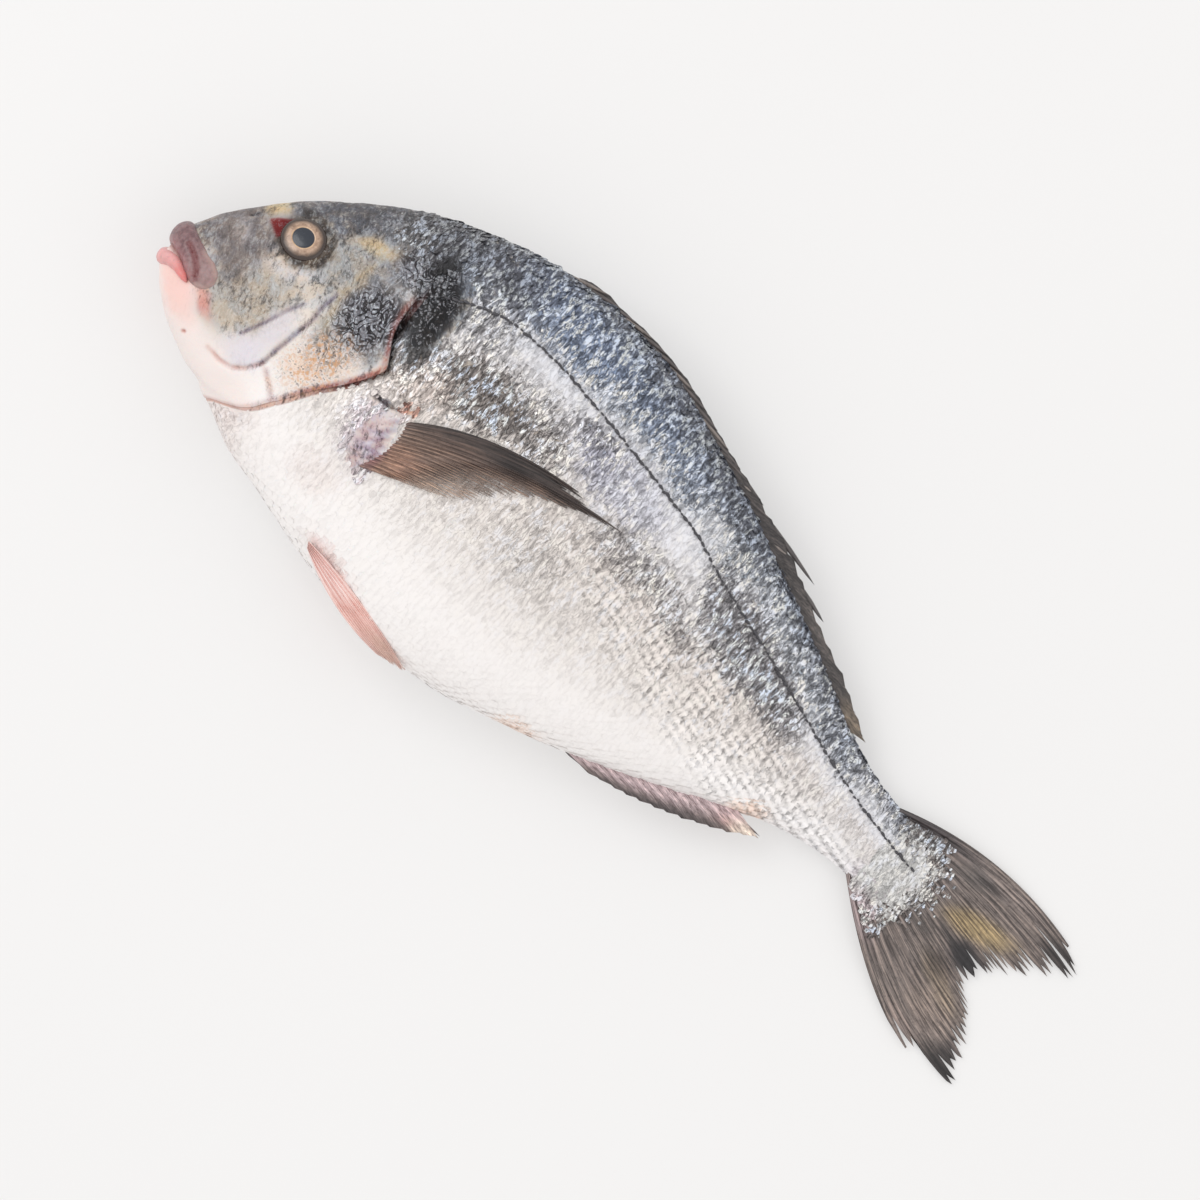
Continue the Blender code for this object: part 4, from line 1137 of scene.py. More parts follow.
def lip_tone(rings, upper):
    """Mauve-brown upper lip and lobe with a dark red fold between them; salmon lower lip."""
    x, y, z = np.moveaxis(rings, -1, 0)
    if not upper:
        base = np.array((218, 158, 156)) + smoothstep(3, 9, x)[..., None] * np.array((-4, -34, -36))
        return linear(base + 12 * grain(x, y, z, 2.0, 7)[..., None])
    base = np.array((106, 80, 83)) + smoothstep(3, 13, x)[..., None] * np.array((32, 32, 28))
    for path, half, colour, strength in LIP_LINES:
        share = strength * np.exp(-((from_path(x, y, path)[0] / half) ** 2))[..., None]
        base = base + share * (np.array(colour) - base)
    return linear(base + 9 * grain(x, y, z, 1.6, 8)[..., None])


def joined_meshes(name, meshes):
    """One mesh from several, each of them closed, with their colours kept."""
    form = bmesh.new()
    for mesh in meshes:
        form.from_mesh(mesh)
        bpy.data.meshes.remove(mesh)
    whole = bpy.data.meshes.new(name)
    form.to_mesh(whole)
    form.free()
    whole.shade_smooth()
    return whole


flesh = lip_flesh()
for name, table, folds in (("upper_lip", UPPER_LIP, (LIP_FOLD,)), ("lower_lip", LOWER_LIP, ())):
    points = lip_points(table, 1)[::-1] + lip_points(table, -1)[1:]
    rings = roll_rings(points, LIP_SIDES, wrinkle=0.08, seed=9, folds=folds)
    laid(name, shell(name, placed(rings), lip_tone(rings, bool(folds))), flesh)

# The eyes: glossy balls sunk in their sockets, with a clouded blue-grey pupil inside a thin gold
# ring, a tan iris streaked with brown, and a dark outer ring where the ball meets the socket.
# The ball's outline from its front to its back: distance from its axis, height above its rim.
EYE_PROFILE = [(0, 1.35), (1.5, 1.28), (2.6, 1.12), (3.0, 1.0), (3.35, 1.08), (3.8, 0.98), (4.8, 0.72),
               (5.7, 0.35), (6.2, 0.0), (6.5, -0.6), (6.3, -1.6), (5.0, -3.0), (2.5, -3.8), (0.3, -4.0)]
EYE_STRETCH = (1.03, 0.94)
EYE_SINK = 0.55
EYE_TILT = 0.8
EYE_AROUND = 72

def eye_gloss():
    """The eye's colours by distance from its axis, in millimetres: pupil, gold ring, iris, dark rim."""
    material, shader, flow = finish("eye_gloss", 0.35, Coat_Weight=0.2, Coat_Roughness=0.2)
    away = flow.value("away")
    streak = flow.clouds(flow.spot(), 520, 4, 0.65, 0.8)
    iris = streak.between(0.37, 0.57).mixed((0.14, 0.085, 0.055, 1), (0.54, 0.38, 0.28, 1))
    iris = (1 - away.between(3.2, 4.2) * 0.7).mixed(iris, (0.40, 0.26, 0.18, 1))
    iris = (away + streak * 1.4).between(5.0, 6.2).mixed(iris, (0.045, 0.03, 0.024, 1))
    gold = away.from_level(3.2)
    iris = ((1 - gold.between(0.08, 0.3)) * streak.between(0.3, 0.6)).mixed(iris, (0.62, 0.42, 0.25, 1))
    pupil = 1 - away.between(2.98, 3.1)
    feed(material, shader, Base_Color=pupil.mixed(iris, (0.018, 0.024, 0.036, 1)),
         Roughness=0.16 + 0.2 * streak, Normal=flow.bump(streak, 0.15, 0.0003))
    return material


x, y = EYE_PLACE
nose_slope = (flank_height(x + 1, y) - flank_height(x - 1, y)) / 2
back_slope = (flank_height(x, y + 1) - flank_height(x, y - 1)) / 2
profile = np.array(EYE_PROFILE)
share, places = np.linspace(0, 1, 4 * len(profile)), np.linspace(0, 1, len(profile))
radius, height = (np.interp(share, places, column) for column in profile.T)
turns = np.linspace(0, 2 * np.pi, EYE_AROUND, endpoint=False)[:, None]
balls = []
for side in (1, -1):
    axis = unit(np.array((-EYE_TILT * nose_slope, -EYE_TILT * back_slope, side)))
    first = unit(np.cross((0, 1, 0), axis))
    second = np.cross(axis, first)
    centre = np.array((x, y, middle(x) + side * (flank_height(x, y) - EYE_SINK)))
    ring = first * np.cos(turns) * EYE_STRETCH[0] + second * np.sin(turns) * EYE_STRETCH[1]
    rings = centre + radius[:, None, None] * ring + height[:, None, None] * axis
    rings[0] = centre + 0.02 * ring + height[0] * axis
    balls.append(shell("ball", placed(rings), values={"away": np.repeat(radius, EYE_AROUND)}))
laid("eyes", joined_meshes("eyes", balls), eye_gloss())

# The tail fin: bony rays joined by thin skin, spread like a fan and forked. It droops from the root
# until it nearly lies on the table. The rays branch towards the ragged, dark, partly split edge.
TAIL_ROOTS = [(0, 246, 22.4), (0.25, 256, 18.5), (0.5, 258, 11), (0.75, 256, 4), (1, 248, 0.8)]
TAIL_BENDS = [(0, 280, 35.0), (0.25, 278, 17.5), (0.5, 274, 8.0), (0.75, 280, -5.5), (1, 282, -27.6)]
TAIL_TIPS = [(0, 313.8, 24), (0.1, 313.4, 20), (0.2, 308.5, 15.6), (0.35, 301, 9), (0.48, 295.5, 4.6),
             (0.55, 294, -0.2), (0.68, 301, -7), (0.8, 305.5, -14), (0.92, 308.6, -22.3), (1, 307.5, -26)]
TAIL_RAYS = 19
BRANCHES = 2
# How deep some of the slits are, and how long some of the fine rays, as shares of the fin's length.
TAIL_SLITS = {0: 0.0, 3: 0.26, 4: 0.05, 9: 0.12, 15: 0.14, 20: 0.1, 21: 0.14, 24: 0.12, 30: 0.1,
              34: 0.12, 36: 0.05, 38: 0.0}
TAIL_LENGTHS = {0: 0.9, 1: 0.97, 2: 1.0, 3: 1.0, 4: 1.0, 34: 1.0, 35: 1.0, 36: 0.74, 37: 0.72}


def fan(table):
    """The x and y curves across a fan, from rows of (share across, x, y)."""
    return [spline([(row[0], row[k]) for row in table]) for k in (1, 2)]


def along_ray(t, root, bend, tip):
    """Places at a share t of each ray from root to tip, on a curve drawn towards its bend."""
    return (1 - t) ** 2 * root + 2 * t * (1 - t) * bend + t**2 * tip


def fin_sheet(tables, height, half_thick, rays, steps, fray, slits, lengths, seed):
    """A thin fan of rays with webs between, as rings of points with each point's ray, reach and ridge.
    Rays branch towards the edge and end in points, with slits between them where the web has torn."""
    fine = rays * BRANCHES
    share = np.linspace(0, 1, fine * 6 + 1)
    number = share * fine
    phase = number % 1
    slim = 1 - np.abs(2 * phase - 1)
    which = np.minimum(number.astype(int), fine - 1)
    chance = np.random.default_rng(seed)
    length = 1 - 0.7 * fray * chance.random(fine)
    depth = fray * (0.55 + 1.5 * chance.random(fine + 1) ** 2)
    for key, value in lengths.items():
        length[key] = value
    for key, value in slits.items():
        depth[key] = value
    depth[0] = depth[-1] = 0
    slit = np.where(phase < 0.5, depth[which], depth[which + 1])
    reach = length[which] - slit * (1 - slim**0.8)
    curves = [fan(table) for table in tables]
    t = reach[:, None] * np.linspace(0, 1, steps)[None, :]
    x, y = (along_ray(t, *(curve[k](share)[:, None] for curve in curves)) for k in (0, 1))
    branched = smoothstep(0.3, 0.55, t)
    coarse = (0.5 - 0.5 * np.cos(2 * np.pi * number / BRANCHES))[:, None]
    thin = (0.5 - 0.5 * np.cos(2 * np.pi * phase))[:, None]
    ridge = coarse * (1 - branched) + thin * branched
    half = half_thick(t) * (0.45 + 0.55 * ridge)
    half[:, -1] *= 0.3
    z = height(x, y)
    front, rear = np.stack([x, y, z + half], -1), np.stack([x, y, z - half], -1)
    rings, reaches, ridges = (np.concatenate([upper, lower[:, ::-1]], axis=1)
                              for upper, lower in ((front, rear), (t, t), (ridge, ridge)))
    return rings, {"ray": np.repeat(number[:, None], 2 * steps, axis=1), "reach": reaches, "ridge": ridges}


def fin_finish(name, shade, gleam, clear=False):
    """Fin skin: its own tone, streaked along the rays partly in its own colours and partly with painted
    highlight and painted shade, with painted shade in the grooves between the rays.
    """
    material, shader, flow = finish(name, 0.42, Coat_Weight=0.2, Coat_Roughness=0.15)
    tone = flow.tone()
    ray, reach, ridge = (flow.value(key) for key in ("ray", "reach", "ridge"))
    lane = flow.node("ShaderNodeCombineXYZ", {"X": ray * 1.7, "Y": reach * 3.0, "Z": 0.0})
    streak = flow.clouds(lane, 1.6, 4, 0.7, 0.2)
    grainy = flow.clouds(flow.spot(), 900, 4, 0.65)
    # Painted shade in the grooves between the rays and on the darker streaks; painted highlight on the
    # lighter streaks over the rays.
    groove = (1 - ridge) * 0.5 + streak.between(0.50, 0.40) * 0.8
    colour = (streak.between(0.50, 0.60) * (0.4 + 0.6 * ridge)).mixed(tone, gleam, "MULTIPLY")
    colour = groove.mixed(colour, shade, "MULTIPLY")
    colour = (grainy.between(0.52, 0.66) * 0.45).mixed(colour, shade, "MULTIPLY")
    raised = ridge * 0.4 + streak * 0.6 + grainy * 0.3
    flows = {"Base_Color": colour, "Normal": flow.bump(raised, 0.6, 0.0005),
             "Roughness": 0.36 + 0.2 * grainy}
    if clear:
        veil = flow.value("veil")
        flows["Alpha"] = 1 - veil * (0.7 - 0.4 * ridge) - veil * streak.between(0.55, 0.42) * 0.4
    feed(material, shader, **flows)
    return material


def patched(x, y, z, base, patches, seed, wander=1.0):
    """A fin's tone: one base colour with patches of (colour, centre, radii, turn, strength)."""
    x = x + wander * grain(x, y, z, 5.0, seed)
    y = y + wander * 0.7 * grain(x, y, z, 5.0, seed + 1)
    tone = np.broadcast_to(np.array(base, float), (*np.shape(x), 3)).copy()
    for colour, centre, radii, turned, strength in patches:
        share = strength * np.exp(-within(x, y, centre, radii, turned) ** 4)
        tone += share[..., None] * (np.array(colour) - tone)
    return tone


TAIL_COLOUR = (126, 115, 110)
TAIL_PATCHES = [
    ((176, 154, 112), (286, 13), (11, 3.6), 12, 0.85),
    ((150, 134, 104), (288, -5.5), (9, 2.6), -24, 0.5),
    ((36, 33, 36), (289, 4.8), (7.5, 3.2), -8, 1.0),
    ((52, 47, 47), (280, 6.6), (6, 1.0), -14, 0.5),
    ((74, 68, 70), (258, 24.6), (16, 2.4), 8, 0.9),
    ((146, 134, 130), (284, 25.5), (14, 2.6), 2, 0.7),
    ((128, 118, 116), (266, 12), (8, 12), 0, 0.6),
    ((82, 77, 76), (276, 23), (7, 3), 0, 0.6),
    ((84, 74, 68), (284, -2), (5, 3), -20, 0.7),
    ((176, 158, 160), (258, -4), (10, 3.4), -32, 0.85),
    ((50, 45, 45), (309, 22), (8, 3.8), 0, 0.9),
    ((42, 38, 38), (304, -21), (8, 5), -10, 0.98),
    ((164, 150, 144), (293, -15), (6, 4), -30, 0.6),
    ((74, 67, 66), (303, -12), (3.5, 8), -20, 0.6),
    ((80, 72, 70), (305, 14), (5, 5), 0, 0.5),
    ((150, 134, 124), (290, -11), (9, 6), -30, 0.6),
    ((78, 72, 70), (272, 4), (5, 2.4), 0, 0.5),
    ((152, 136, 130), (287, -20), (8, 2), -22, 0.6),
]


def tail_wave(y):
    """How far the tail fin's web waves to and fro from its middle plane."""
    return 0.35 * np.sin(0.42 * y)


rings, values = fin_sheet((TAIL_ROOTS, TAIL_BENDS, TAIL_TIPS), lambda x, y: middle(x) + tail_wave(y),
                          lambda t: 1.25 - 0.88 * smoothstep(0, 0.55, t), TAIL_RAYS, steps=46, fray=0.085,
                          slits=TAIL_SLITS, lengths=TAIL_LENGTHS, seed=21)
tones = linear(patched(*np.moveaxis(rings, -1, 0), TAIL_COLOUR, TAIL_PATCHES, 31))
laid("tail_fin", shell("tail_fin", placed(rings), tones, values),
     fin_finish("tail_fin_skin", (0.28, 0.26, 0.26, 1), (1.75, 1.68, 1.6, 1)))


# The loose scales over the tail's root: small pale plates of bone in rows, smaller and darker towards
# the fin, that grow out of the skin and out of the first part of the rays.
ROOT_LOWER = spline([(250, -1.2), (256, -4.2), (262, -7.6), (268, -11.4), (276, -16)])
ROOT_UPPER = spline([(250, 22.5), (258, 24.2), (264, 25.8), (276, 27)])
ROOT_CORNER = (252, -11)
ROOT_GRID = (32, 36)
ROOT_PITCH = (0.74, 1.02)
ROOT_AREA = ((256, 8.5), (14.8, 18), -8)
ROOT_COLOUR = (214, 213, 211)
ROOT_PATCHES = [
    ((104, 100, 102), (262, 25), (14, 4.6), 8, 0.9),
    ((196, 172, 178), (260, -6), (9, 4.5), -30, 0.7),
]
ROOT_EDGE_COLOUR = (138, 128, 124)


def root_height(x, y, side):
    """How far skin or fin, whichever is higher, stands out from the middle plane at the tail's root."""
    inside = (y > belly(x)) & (y < back(x))
    flesh = np.where(inside, thinned_root(x) * flank_height(x, y) - SKIN_SINK, 0)
    return np.maximum(flesh, 1.3 - 0.06 * (x - 258) + side * tail_wave(y)) + 0.1


def root_point(x, y, ahead, above, side):
    """A place on the tail's root, a little ahead of x or above y, in millimetres."""
    height = root_height(x + ahead, y + above, side)
    return np.stack([x + ahead, y + above, middle(x + ahead) + side * height], 1)


def root_laying(side):
    """Places, axes, sizes in metres and colours of the small scales on one side of the tail's root."""
    column, row = np.arange(ROOT_GRID[0])[:, None], np.arange(ROOT_GRID[1])[None, :]
    x = ROOT_CORNER[0] + ROOT_PITCH[0] * column + 0.3 * chance.standard_normal(ROOT_GRID)
    y = ROOT_CORNER[1] + ROOT_PITCH[1] * (row + 0.5 * (column % 2))
    y = y + 0.25 * chance.standard_normal(ROOT_GRID)
    x, y = x.ravel(), y.ravel()
    edge = within(x, y, *ROOT_AREA) + 0.2 * grain(x, y, 0 * x, 4.0, 51)
    edge = edge + 0.12 * chance.standard_normal(len(x))
    kept = (edge < 1) & (y > ROOT_LOWER(x) + 0.5) & (y < ROOT_UPPER(x) - 0.8)
    x, y, edge = x[kept], y[kept], edge[kept]
    here = root_point(x, y, 0, 0, side)
    along, upward = root_point(x, y, 1, 0, side) - here, root_point(x, y, 0, 1, side) - here
    for slope in (along, upward):
        slope[:, 2] = np.clip(slope[:, 2], -0.6, 0.6)
    along = unit(along)
    normal = unit(side * np.cross(along, upward))
    tilt = np.clip(0.12 + 0.05 * chance.standard_normal(len(x)), 0.02, 0.25)[:, None]
    faint = smoothstep(0.7, 1.05, edge)
    size = np.stack([1.5 - 0.6 * faint, 1.35 - 0.45 * faint, 0.12 + 0 * x], 1)
    size = size * (1 + 0.15 * chance.standard_normal(len(x)))[:, None]
    tones = patched(x, y, 0 * x, ROOT_COLOUR, ROOT_PATCHES, 53)
    tones += 0.95 * smoothstep(0.6, 0.95, edge)[:, None] * (np.array(ROOT_EDGE_COLOUR) - tones)
    return placed(here), plate_axes(along, normal, tilt), size * MM, linear(tones)


both_sides = [np.concatenate(column) for column in zip(*(root_laying(side) for side in (1, -1)))]
mesh = strewn("root_scales", plate, *both_sides, scale_finish, size_jitter=0.1, turn_jitter=0.04, seed=8)
laid("root_scales", mesh, scale_finish)

# The breast fins: one long pointed fan folded back along each flank from a fleshy root. The web is
# brown, nearly black along the upper edge, and lets the flank show through low down.
PECTORAL_ROOTS = [(0, 79.5, 11.0), (0.5, 79.5, 2.5), (1, 76.5, -6.8)]
PECTORAL_BENDS = [(0, 97.5, 25.8), (0.1, 106, 24.8), (0.5, 93, 10.5), (1, 84.5, -3.4)]
PECTORAL_TIPS = [(0, 128.5, 28.4), (0.05, 128.5, 27.7), (0.15, 143.4, 28.0), (0.22, 135, 25.6),
                 (0.34, 121, 20.0), (0.5, 113, 14), (0.7, 109, 9.4), (0.85, 103, 4), (1, 92, -0.6)]
PECTORAL_RAYS = 15
PECTORAL_SLITS = {3: 0.1, 12: 0.12, 20: 0.16, 24: 0.14}
PECTORAL_LENGTHS = {0: 0.97, 1: 1.0, 2: 0.84, 3: 0.86, 4: 1.0, 5: 0.98}
PECTORAL_COLOUR = (134, 114, 104)
PECTORAL_PATCHES = [
    ((50, 42, 41), (100, 20.6), (28, 4.8), 17, 0.98),
    ((62, 54, 52), (125, 25.6), (20, 3.0), 4, 0.9),
    ((172, 134, 116), (85, 1), (9, 6), 24, 0.8),
    ((124, 102, 92), (92, 13), (13, 5), 30, 0.5),
    ((190, 168, 154), (102, 4.6), (12, 4.4), 24, 0.9),
    ((134, 96, 100), (79.5, 3), (2.2, 10), 4, 0.8),
]


def hidden_root(x, y):
    """1 where the breast fin starts, inside its fleshy root, falling to 0 just behind."""
    heights, starts = [row[2] for row in PECTORAL_ROOTS[::-1]], [row[1] for row in PECTORAL_ROOTS[::-1]]
    return 1 - smoothstep(0.2, 2.4, x - np.interp(y, heights, starts))


def pectoral_height(side):
    """How far from the middle plane the breast fin of one side lies, as a function of place."""
    return lambda x, y: middle(x) + side * (flank_height(x, y) + 0.42 - 1.3 * hidden_root(x, y))


def fin_pair(name, sheets, see_through, colour, patches, seed, material):
    """The left and right fin as one piece, from their rings and values."""
    meshes = []
    for rings, values in sheets:
        values["veil"] = see_through(values)
        tones = linear(patched(*np.moveaxis(rings, -1, 0), colour, patches, seed))
        meshes.append(shell("sheet", placed(rings), tones, values))
    laid(name, joined_meshes(name, meshes), material)


fin_pair(
    "breast_fins",
    [fin_sheet((PECTORAL_ROOTS, PECTORAL_BENDS, PECTORAL_TIPS), pectoral_height(side),
               lambda t: 0.55 - 0.2 * t, PECTORAL_RAYS, steps=34, fray=0.07, slits=PECTORAL_SLITS,
               lengths=PECTORAL_LENGTHS, seed=22)
     for side in (1, -1)],
    lambda values: smoothstep(0.34, 0.85, values["reach"]) * smoothstep(4, 12, values["ray"]),
    PECTORAL_COLOUR, PECTORAL_PATCHES, 33,
    fin_finish("breast_fin_skin", (0.36, 0.33, 0.32, 1), (1.75, 1.65, 1.5, 1), True),
)

# The belly fins: a folded pink pair that lies back along the lower edge of the belly, a few soft
# rays in each with thin pale skin between.
PELVIC_ROOTS = [(0, 81.5, -29.8), (1, 82.5, -31.6)]
PELVIC_BENDS = [(0, 101, -30.8), (0.5, 102, -35.6), (1, 98, -40.2)]
PELVIC_TIPS = [(0, 125, -38.8), (0.5, 121.5, -39.6), (1, 116, -40.4)]
PELVIC_OUT = 11.4
PELVIC_SLANT = 0.72
PELVIC_RAYS = 6
PELVIC_COLOUR = (247, 218, 211)
PELVIC_PATCHES = [
    ((246, 222, 218), (90, -33), (10, 3), -12, 0.7),
    ((226, 184, 175), (104, -37), (12, 1.2), -10, 0.5),
    ((232, 206, 190), (118, -38.6), (8, 2), -10, 0.6),
]


def pelvic_height(side):
    """How far from the middle plane the belly fin of one side lies, as a function of place."""
    return lambda x, y: middle(x) + side * (PELVIC_OUT + PELVIC_SLANT * (y - PELVIC_ROOTS[0][2]))


fin_pair(
    "belly_fins",
    [fin_sheet((PELVIC_ROOTS, PELVIC_BENDS, PELVIC_TIPS), pelvic_height(side),
               lambda t: 1.2 - 0.7 * t, PELVIC_RAYS, steps=30, fray=0.05, slits={}, lengths={}, seed=23)
     for side in (1, -1)],
    lambda values: 0.6 * smoothstep(0.6, 1.0, values["reach"]),
    PELVIC_COLOUR, PELVIC_PATCHES, 35,
    fin_finish("belly_fin_skin", (0.9, 0.74, 0.71, 1), (1.08, 1.1, 1.1, 1), True),
)

# The back fin and the fin behind the vent: thin skin over rays, both folded down along the body, so
# that each shows as a low dark ridge whose rim steps down behind every ray.
DORSAL_SPAN = (84.0, 222.0)
DORSAL_TEETH = 23
DORSAL_LEAN = 8.0
DORSAL_RISE = [(84, 0.4), (97, 1.8), (102, 1.1), (112, 1.5), (130, 2.0), (150, 2.1), (165, 3.3), (180, 4.6),
               (195, 3.6), (225, 3.2), (232, 2.0)]
ANAL_SPAN = (168.0, 214.0)
ANAL_TEETH = 12
ANAL_LEAN = 11.0
ANAL_RISE = [(168, 0.8), (180, 3.4), (192, 5.6), (204, 7.0), (216, 6.8), (226, 4.8)]
FOLDED_SINK = 1.6
FOLDED_THICKNESS = ((0.0, 1.5), (0.25, 1.3), (0.45, 1.05), (0.7, 0.7), (0.88, 0.42), (1.0, 0.12))
DORSAL_COLOUR = (74, 69, 68)
DORSAL_PATCHES = [
    ((148, 132, 112), (224, 31), (8, 2.5), -28, 0.7),
    ((126, 118, 114), (200, 44), (10, 2), -25, 0.5),
    ((64, 59, 59), (172, 56), (16, 5), -20, 0.8),
]
ANAL_COLOUR = (122, 110, 107)
ANAL_INNER_COLOUR = (226, 204, 207)
ANAL_PATCHES = [
    ((176, 158, 164), (192, -18.5), (14, 1.8), 22, 0.6),
    ((88, 80, 80), (190, -23.5), (16, 1.6), 20, 0.8),
    ((206, 152, 146), (216, -8.5), (6, 3), 30, 0.8),
    ((252, 236, 220), (222.5, -8), (7, 5), 25, 1.0),
    ((78, 71, 72), (203, -19), (13, 2.2), 24, 0.7),
]


def folded_fin(span, teeth, lean, rise, edge, outward_sign, bite):
    """Rings of a fin laid back along an edge of the body, sawtoothed where its rays end."""
    rise = spline(rise)
    places = np.linspace(*span, teeth * 9 + 1)
    number = (places - span[0]) / (span[1] - span[0]) * teeth
    chance = np.random.default_rng(teeth)
    uneven = 1 - 0.45 * chance.random(teeth + 1)
    saw = (1 - number % 1) * uneven[number.astype(int)]
    rings = []
    for x, tooth in zip(places, saw):
        grown = 1 - bite + bite * tooth
        root = np.array([x, edge(x) - outward_sign * FOLDED_SINK])
        tip_x = x + lean * grown
        tip = np.array([tip_x, edge(tip_x) + outward_sign * rise(tip_x) * grown])
        centre = middle(x)
        left = [(*(root + (tip - root) * share), centre + half * (0.86 + 0.14 * tooth))
                for share, half in FOLDED_THICKNESS]
        right = [(p[0], p[1], 2 * centre - p[2]) for p in left]
        rings.append(left + right[::-1])
    shares = np.array([share for share, half in FOLDED_THICKNESS])
    reach = np.tile(np.concatenate([shares, shares[::-1]]), (len(places), 1))
    rays_at = number[:, None] - 0.6 * reach
    ridge = 0.5 + 0.5 * np.cos(2 * np.pi * rays_at)
    return np.array(rings), {"ray": 3 * rays_at, "reach": reach, "ridge": ridge}


rings, values = folded_fin(DORSAL_SPAN, DORSAL_TEETH, DORSAL_LEAN, DORSAL_RISE, back, outward_sign=1,
                           bite=0.28)
tones = linear(patched(*np.moveaxis(rings, -1, 0), DORSAL_COLOUR, DORSAL_PATCHES, 37))
laid("back_fin", shell("back_fin", placed(rings), tones, values),
     fin_finish("folded_fin_skin", (0.28, 0.26, 0.26, 1), (1.7, 1.6, 1.5, 1)))
rings, values = folded_fin(ANAL_SPAN, ANAL_TEETH, ANAL_LEAN, ANAL_RISE, belly, outward_sign=-1,
                           bite=0.1)
tones = linear(patched(*np.moveaxis(rings, -1, 0), ANAL_COLOUR, ANAL_PATCHES, 39))
inner_part = 0.8 * (1 - smoothstep(0.3, 0.85, values["reach"]))[..., None]
tones += inner_part * (linear(ANAL_INNER_COLOUR) - tones)
laid("vent_fin", shell("vent_fin", placed(rings), tones, values),
     fin_finish("vent_fin_skin", (0.36, 0.31, 0.31, 1), (1.5, 1.45, 1.4, 1)))

# The spine tips: stiff pointed bones under thin skin, which stand a little out of the folded back and
# vent fins. Each is one slim rod from inside the fin to its tip, and five of the back fin lie free.
DORSAL_SPINES = 24
STRONG_SPINES = 11
ANAL_SPINES = 12
SPINE_SHOW = 0.86
# The free ones, each from its start to its tip.
FREE_SPINES = [((88, 71.2), (100, 72.8)), ((122, 70.2), (138, 67.3)), ((150, 61.8), (166, 58.9)),
               ((168, 57.2), (190.5, 52.2)), ((186, 49.8), (199, 46.4))]


def spine_bone():
    """Bone under thin skin, streaked along each spine and dark at its tip."""
    material, shader, flow = finish("fin_spines", 0.38, Coat_Weight=0.35, Coat_Roughness=0.12)
    tone, rim = flow.tone(), flow.value("rim")
    fine = flow.clouds(flow.stretched(flow.spot(), (0.4, 1.0, 1.0)), 1300, 3)
    colour = (fine.between(0.4, 0.7) * 0.6).mixed(tone, (0.03, 0.027, 0.027, 1))
    colour = (rim.between(0.75, 1.0) * 0.6).mixed(colour, (0.02, 0.018, 0.018, 1))
    feed(material, shader, Base_Color=colour, Normal=flow.bump(fine, 0.4, 0.0003))
    return material


def spine_laying(spines):
    """Places, axes, sizes in metres and colours of rods from rows of start, tip, width, lift, colour."""
    starts, tips, widths, lifts, colours = (np.array(column, float) for column in zip(*spines))
    start = placed(np.column_stack([starts, middle(starts[:, 0]) + lifts]))
    tip = placed(np.column_stack([tips, middle(tips[:, 0]) + lifts]))
    length = np.linalg.norm(tip - start, axis=1)
    axes = rod_axes(unit(tip - start), (0.0, 0.0, 1.0))
    return (start + tip) / 2, axes, np.column_stack([length, widths * MM, widths * MM]), linear(colours)


dorsal_rise, anal_rise = spline(DORSAL_RISE), spline(ANAL_RISE)
spines = []
for k in range(DORSAL_SPINES):
    strong = k < STRONG_SPINES
    x = 85 + 5.75 * k
    tip_x = x + (12.5 if strong else 10.5)
    tip_y = back(tip_x) + dorsal_rise(tip_x) * SPINE_SHOW
    width = 1.05 if strong else 0.8
    colour = (96, 88, 86) if k % 3 else (134, 124, 118)
    spines.append(((x, back(x) - 0.6), (tip_x, tip_y), width, 0.75 + 0.2 * (k % 2), colour))
for k in range(ANAL_SPINES):
    x = 170 + 3.9 * k
    tip_x = x + 12
    tip_y = belly(tip_x) - anal_rise(tip_x) * SPINE_SHOW
    colour = (128, 108, 106) if k % 2 else (92, 84, 84)
    spines.append(((x, belly(x) + 0.4), (tip_x, tip_y), 0.85, 0.75 + 0.15 * (k % 2), colour))
spines += [(start, tip, 1.5, 0.0, (84, 78, 77)) for start, tip in FREE_SPINES]
bone = spine_bone()
mesh = strewn("fin_spines", rod_mesh(sides=8, taper=0.5), *spine_laying(spines), bone, size_jitter=0.0,
              turn_jitter=0.0, seed=4)
laid("fin_spines", mesh, bone)

# A plain pale table top and soft studio light, with the camera straight above, as in the photograph.
# The photograph's middle and width are in millimetres on the fish's grid, its turn in degrees.
PHOTO_MIDDLE = (150.1, 10.6)
PHOTO_SPAN = 322.1
PHOTO_TURN = 42.0
CAMERA_HEIGHT = 3.0
FISH_HEIGHT = 24.0
SENSOR = 36.0
TABLE_HALF = 3.0
STUDIO_WHITE = (1.0, 0.99, 0.985, 1)
# The lamps: name, place to the right, up and above in metres, width, power.
LAMPS = [("key", (-0.9, 0.9, 1.3), 1.1, 10.5), ("fill", (1.1, -0.5, 1.2), 1.4, 3)]


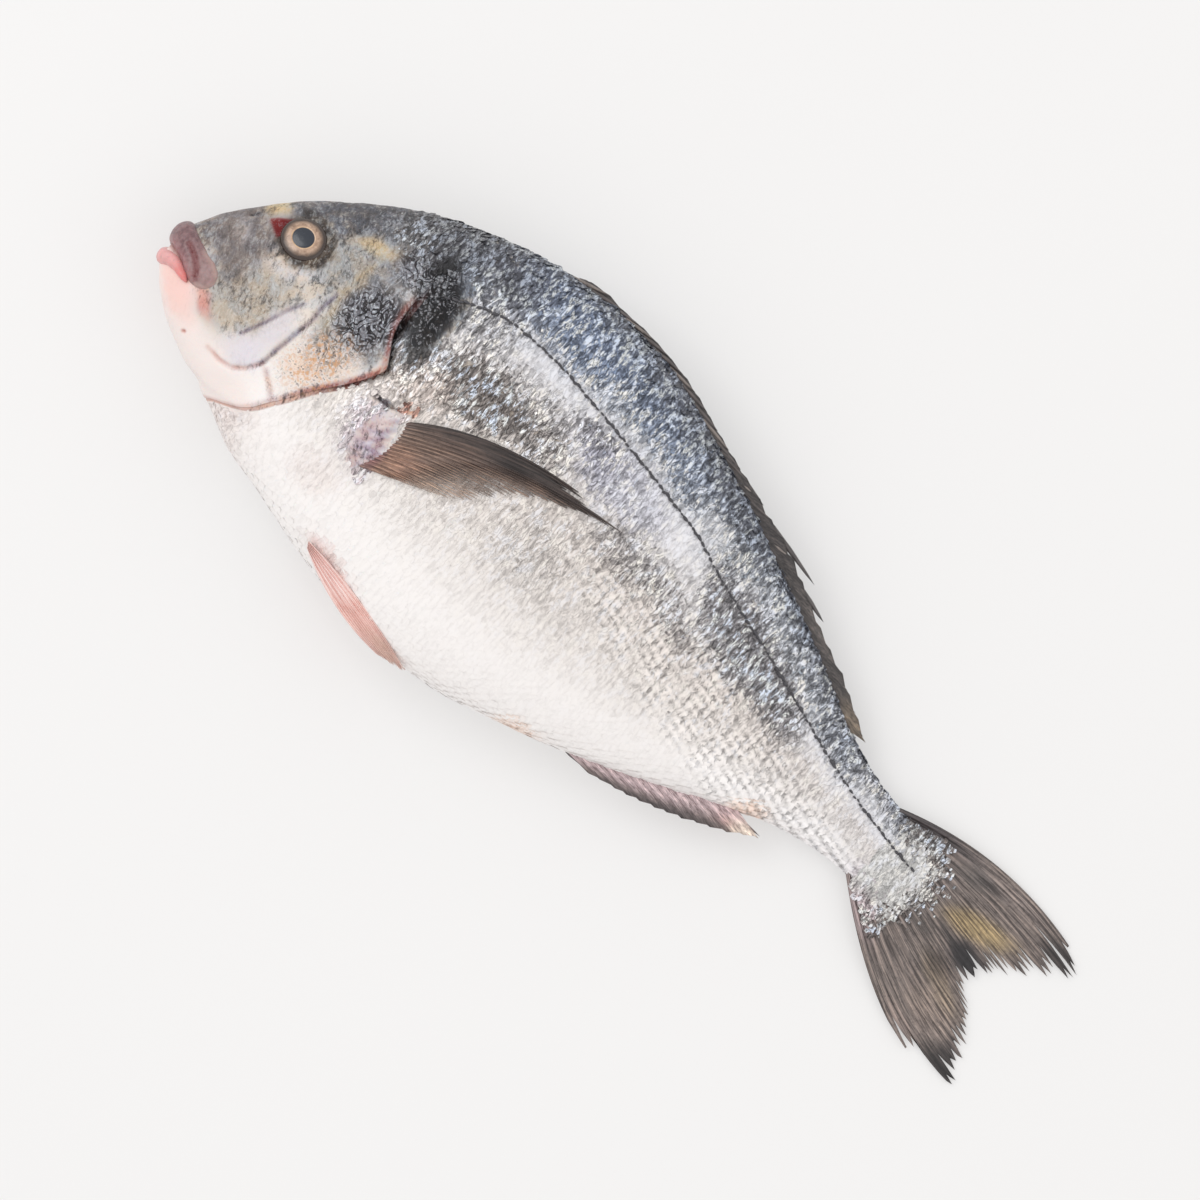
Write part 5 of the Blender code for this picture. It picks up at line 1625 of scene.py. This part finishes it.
def pale_table():
    """A plain matt surface with a faint glow, which keeps it pale all round the fish."""
    material, shader, flow = finish("pale_table", 0.85, Emission_Color=STUDIO_WHITE, Emission_Strength=0.40)
    cloud = flow.clouds(flow.spot(), 3.0, 2)
    feed(material, shader, Base_Color=cloud.mixed((0.44, 0.437, 0.434, 1), (0.45, 0.447, 0.444, 1)))
    return material


floor_form = bmesh.new()
bmesh.ops.create_grid(floor_form, x_segments=2, y_segments=2, size=TABLE_HALF)
floor_mesh = bpy.data.meshes.new("table_top")
floor_form.to_mesh(floor_mesh)
floor_form.free()
floor = bpy.data.objects.new("table_top", floor_mesh)
bpy.context.scene.collection.objects.link(floor)
floor.data.materials.append(pale_table())

world = bpy.data.worlds.new("studio")
world.use_nodes = True
surround = world.node_tree.nodes["Background"].inputs
surround["Color"].default_value = STUDIO_WHITE
surround["Strength"].default_value = 0.88
bpy.context.scene.world = world
bpy.context.scene.view_settings.view_transform = "Standard"

turn = math.radians(PHOTO_TURN)
right, up = Vector((math.cos(turn), math.sin(turn), 0)), Vector((-math.sin(turn), math.cos(turn), 0))
for name, offset, size, watts in LAMPS:
    lamp = bpy.data.lights.new(name, "AREA")
    lamp.energy, lamp.size = watts, size
    holder = bpy.data.objects.new(name, lamp)
    bpy.context.scene.collection.objects.link(holder)
    holder.location = right * offset[0] + up * offset[1] + Vector((0, 0, offset[2]))
    holder.rotation_euler = (-holder.location).to_track_quat("-Z", "Y").to_euler()

camera_data = bpy.data.cameras.new("camera")
camera_data.sensor_width = camera_data.sensor_height = SENSOR
camera_data.sensor_fit = "AUTO"
camera_data.lens = SENSOR * (CAMERA_HEIGHT - FISH_HEIGHT * MM) / (PHOTO_SPAN * MM)
camera = bpy.data.objects.new("camera", camera_data)
bpy.context.scene.collection.objects.link(camera)
target = Vector(((PHOTO_MIDDLE[0] - BOX_CENTRE_X) * MM, (PHOTO_MIDDLE[1] - BOX_CENTRE_Y) * MM, 0))
camera.matrix_world = Matrix((
    (right.x, up.x, 0, target.x),
    (right.y, up.y, 0, target.y),
    (0, 0, 1, CAMERA_HEIGHT),
    (0, 0, 0, 1),
))
bpy.context.scene.camera = camera
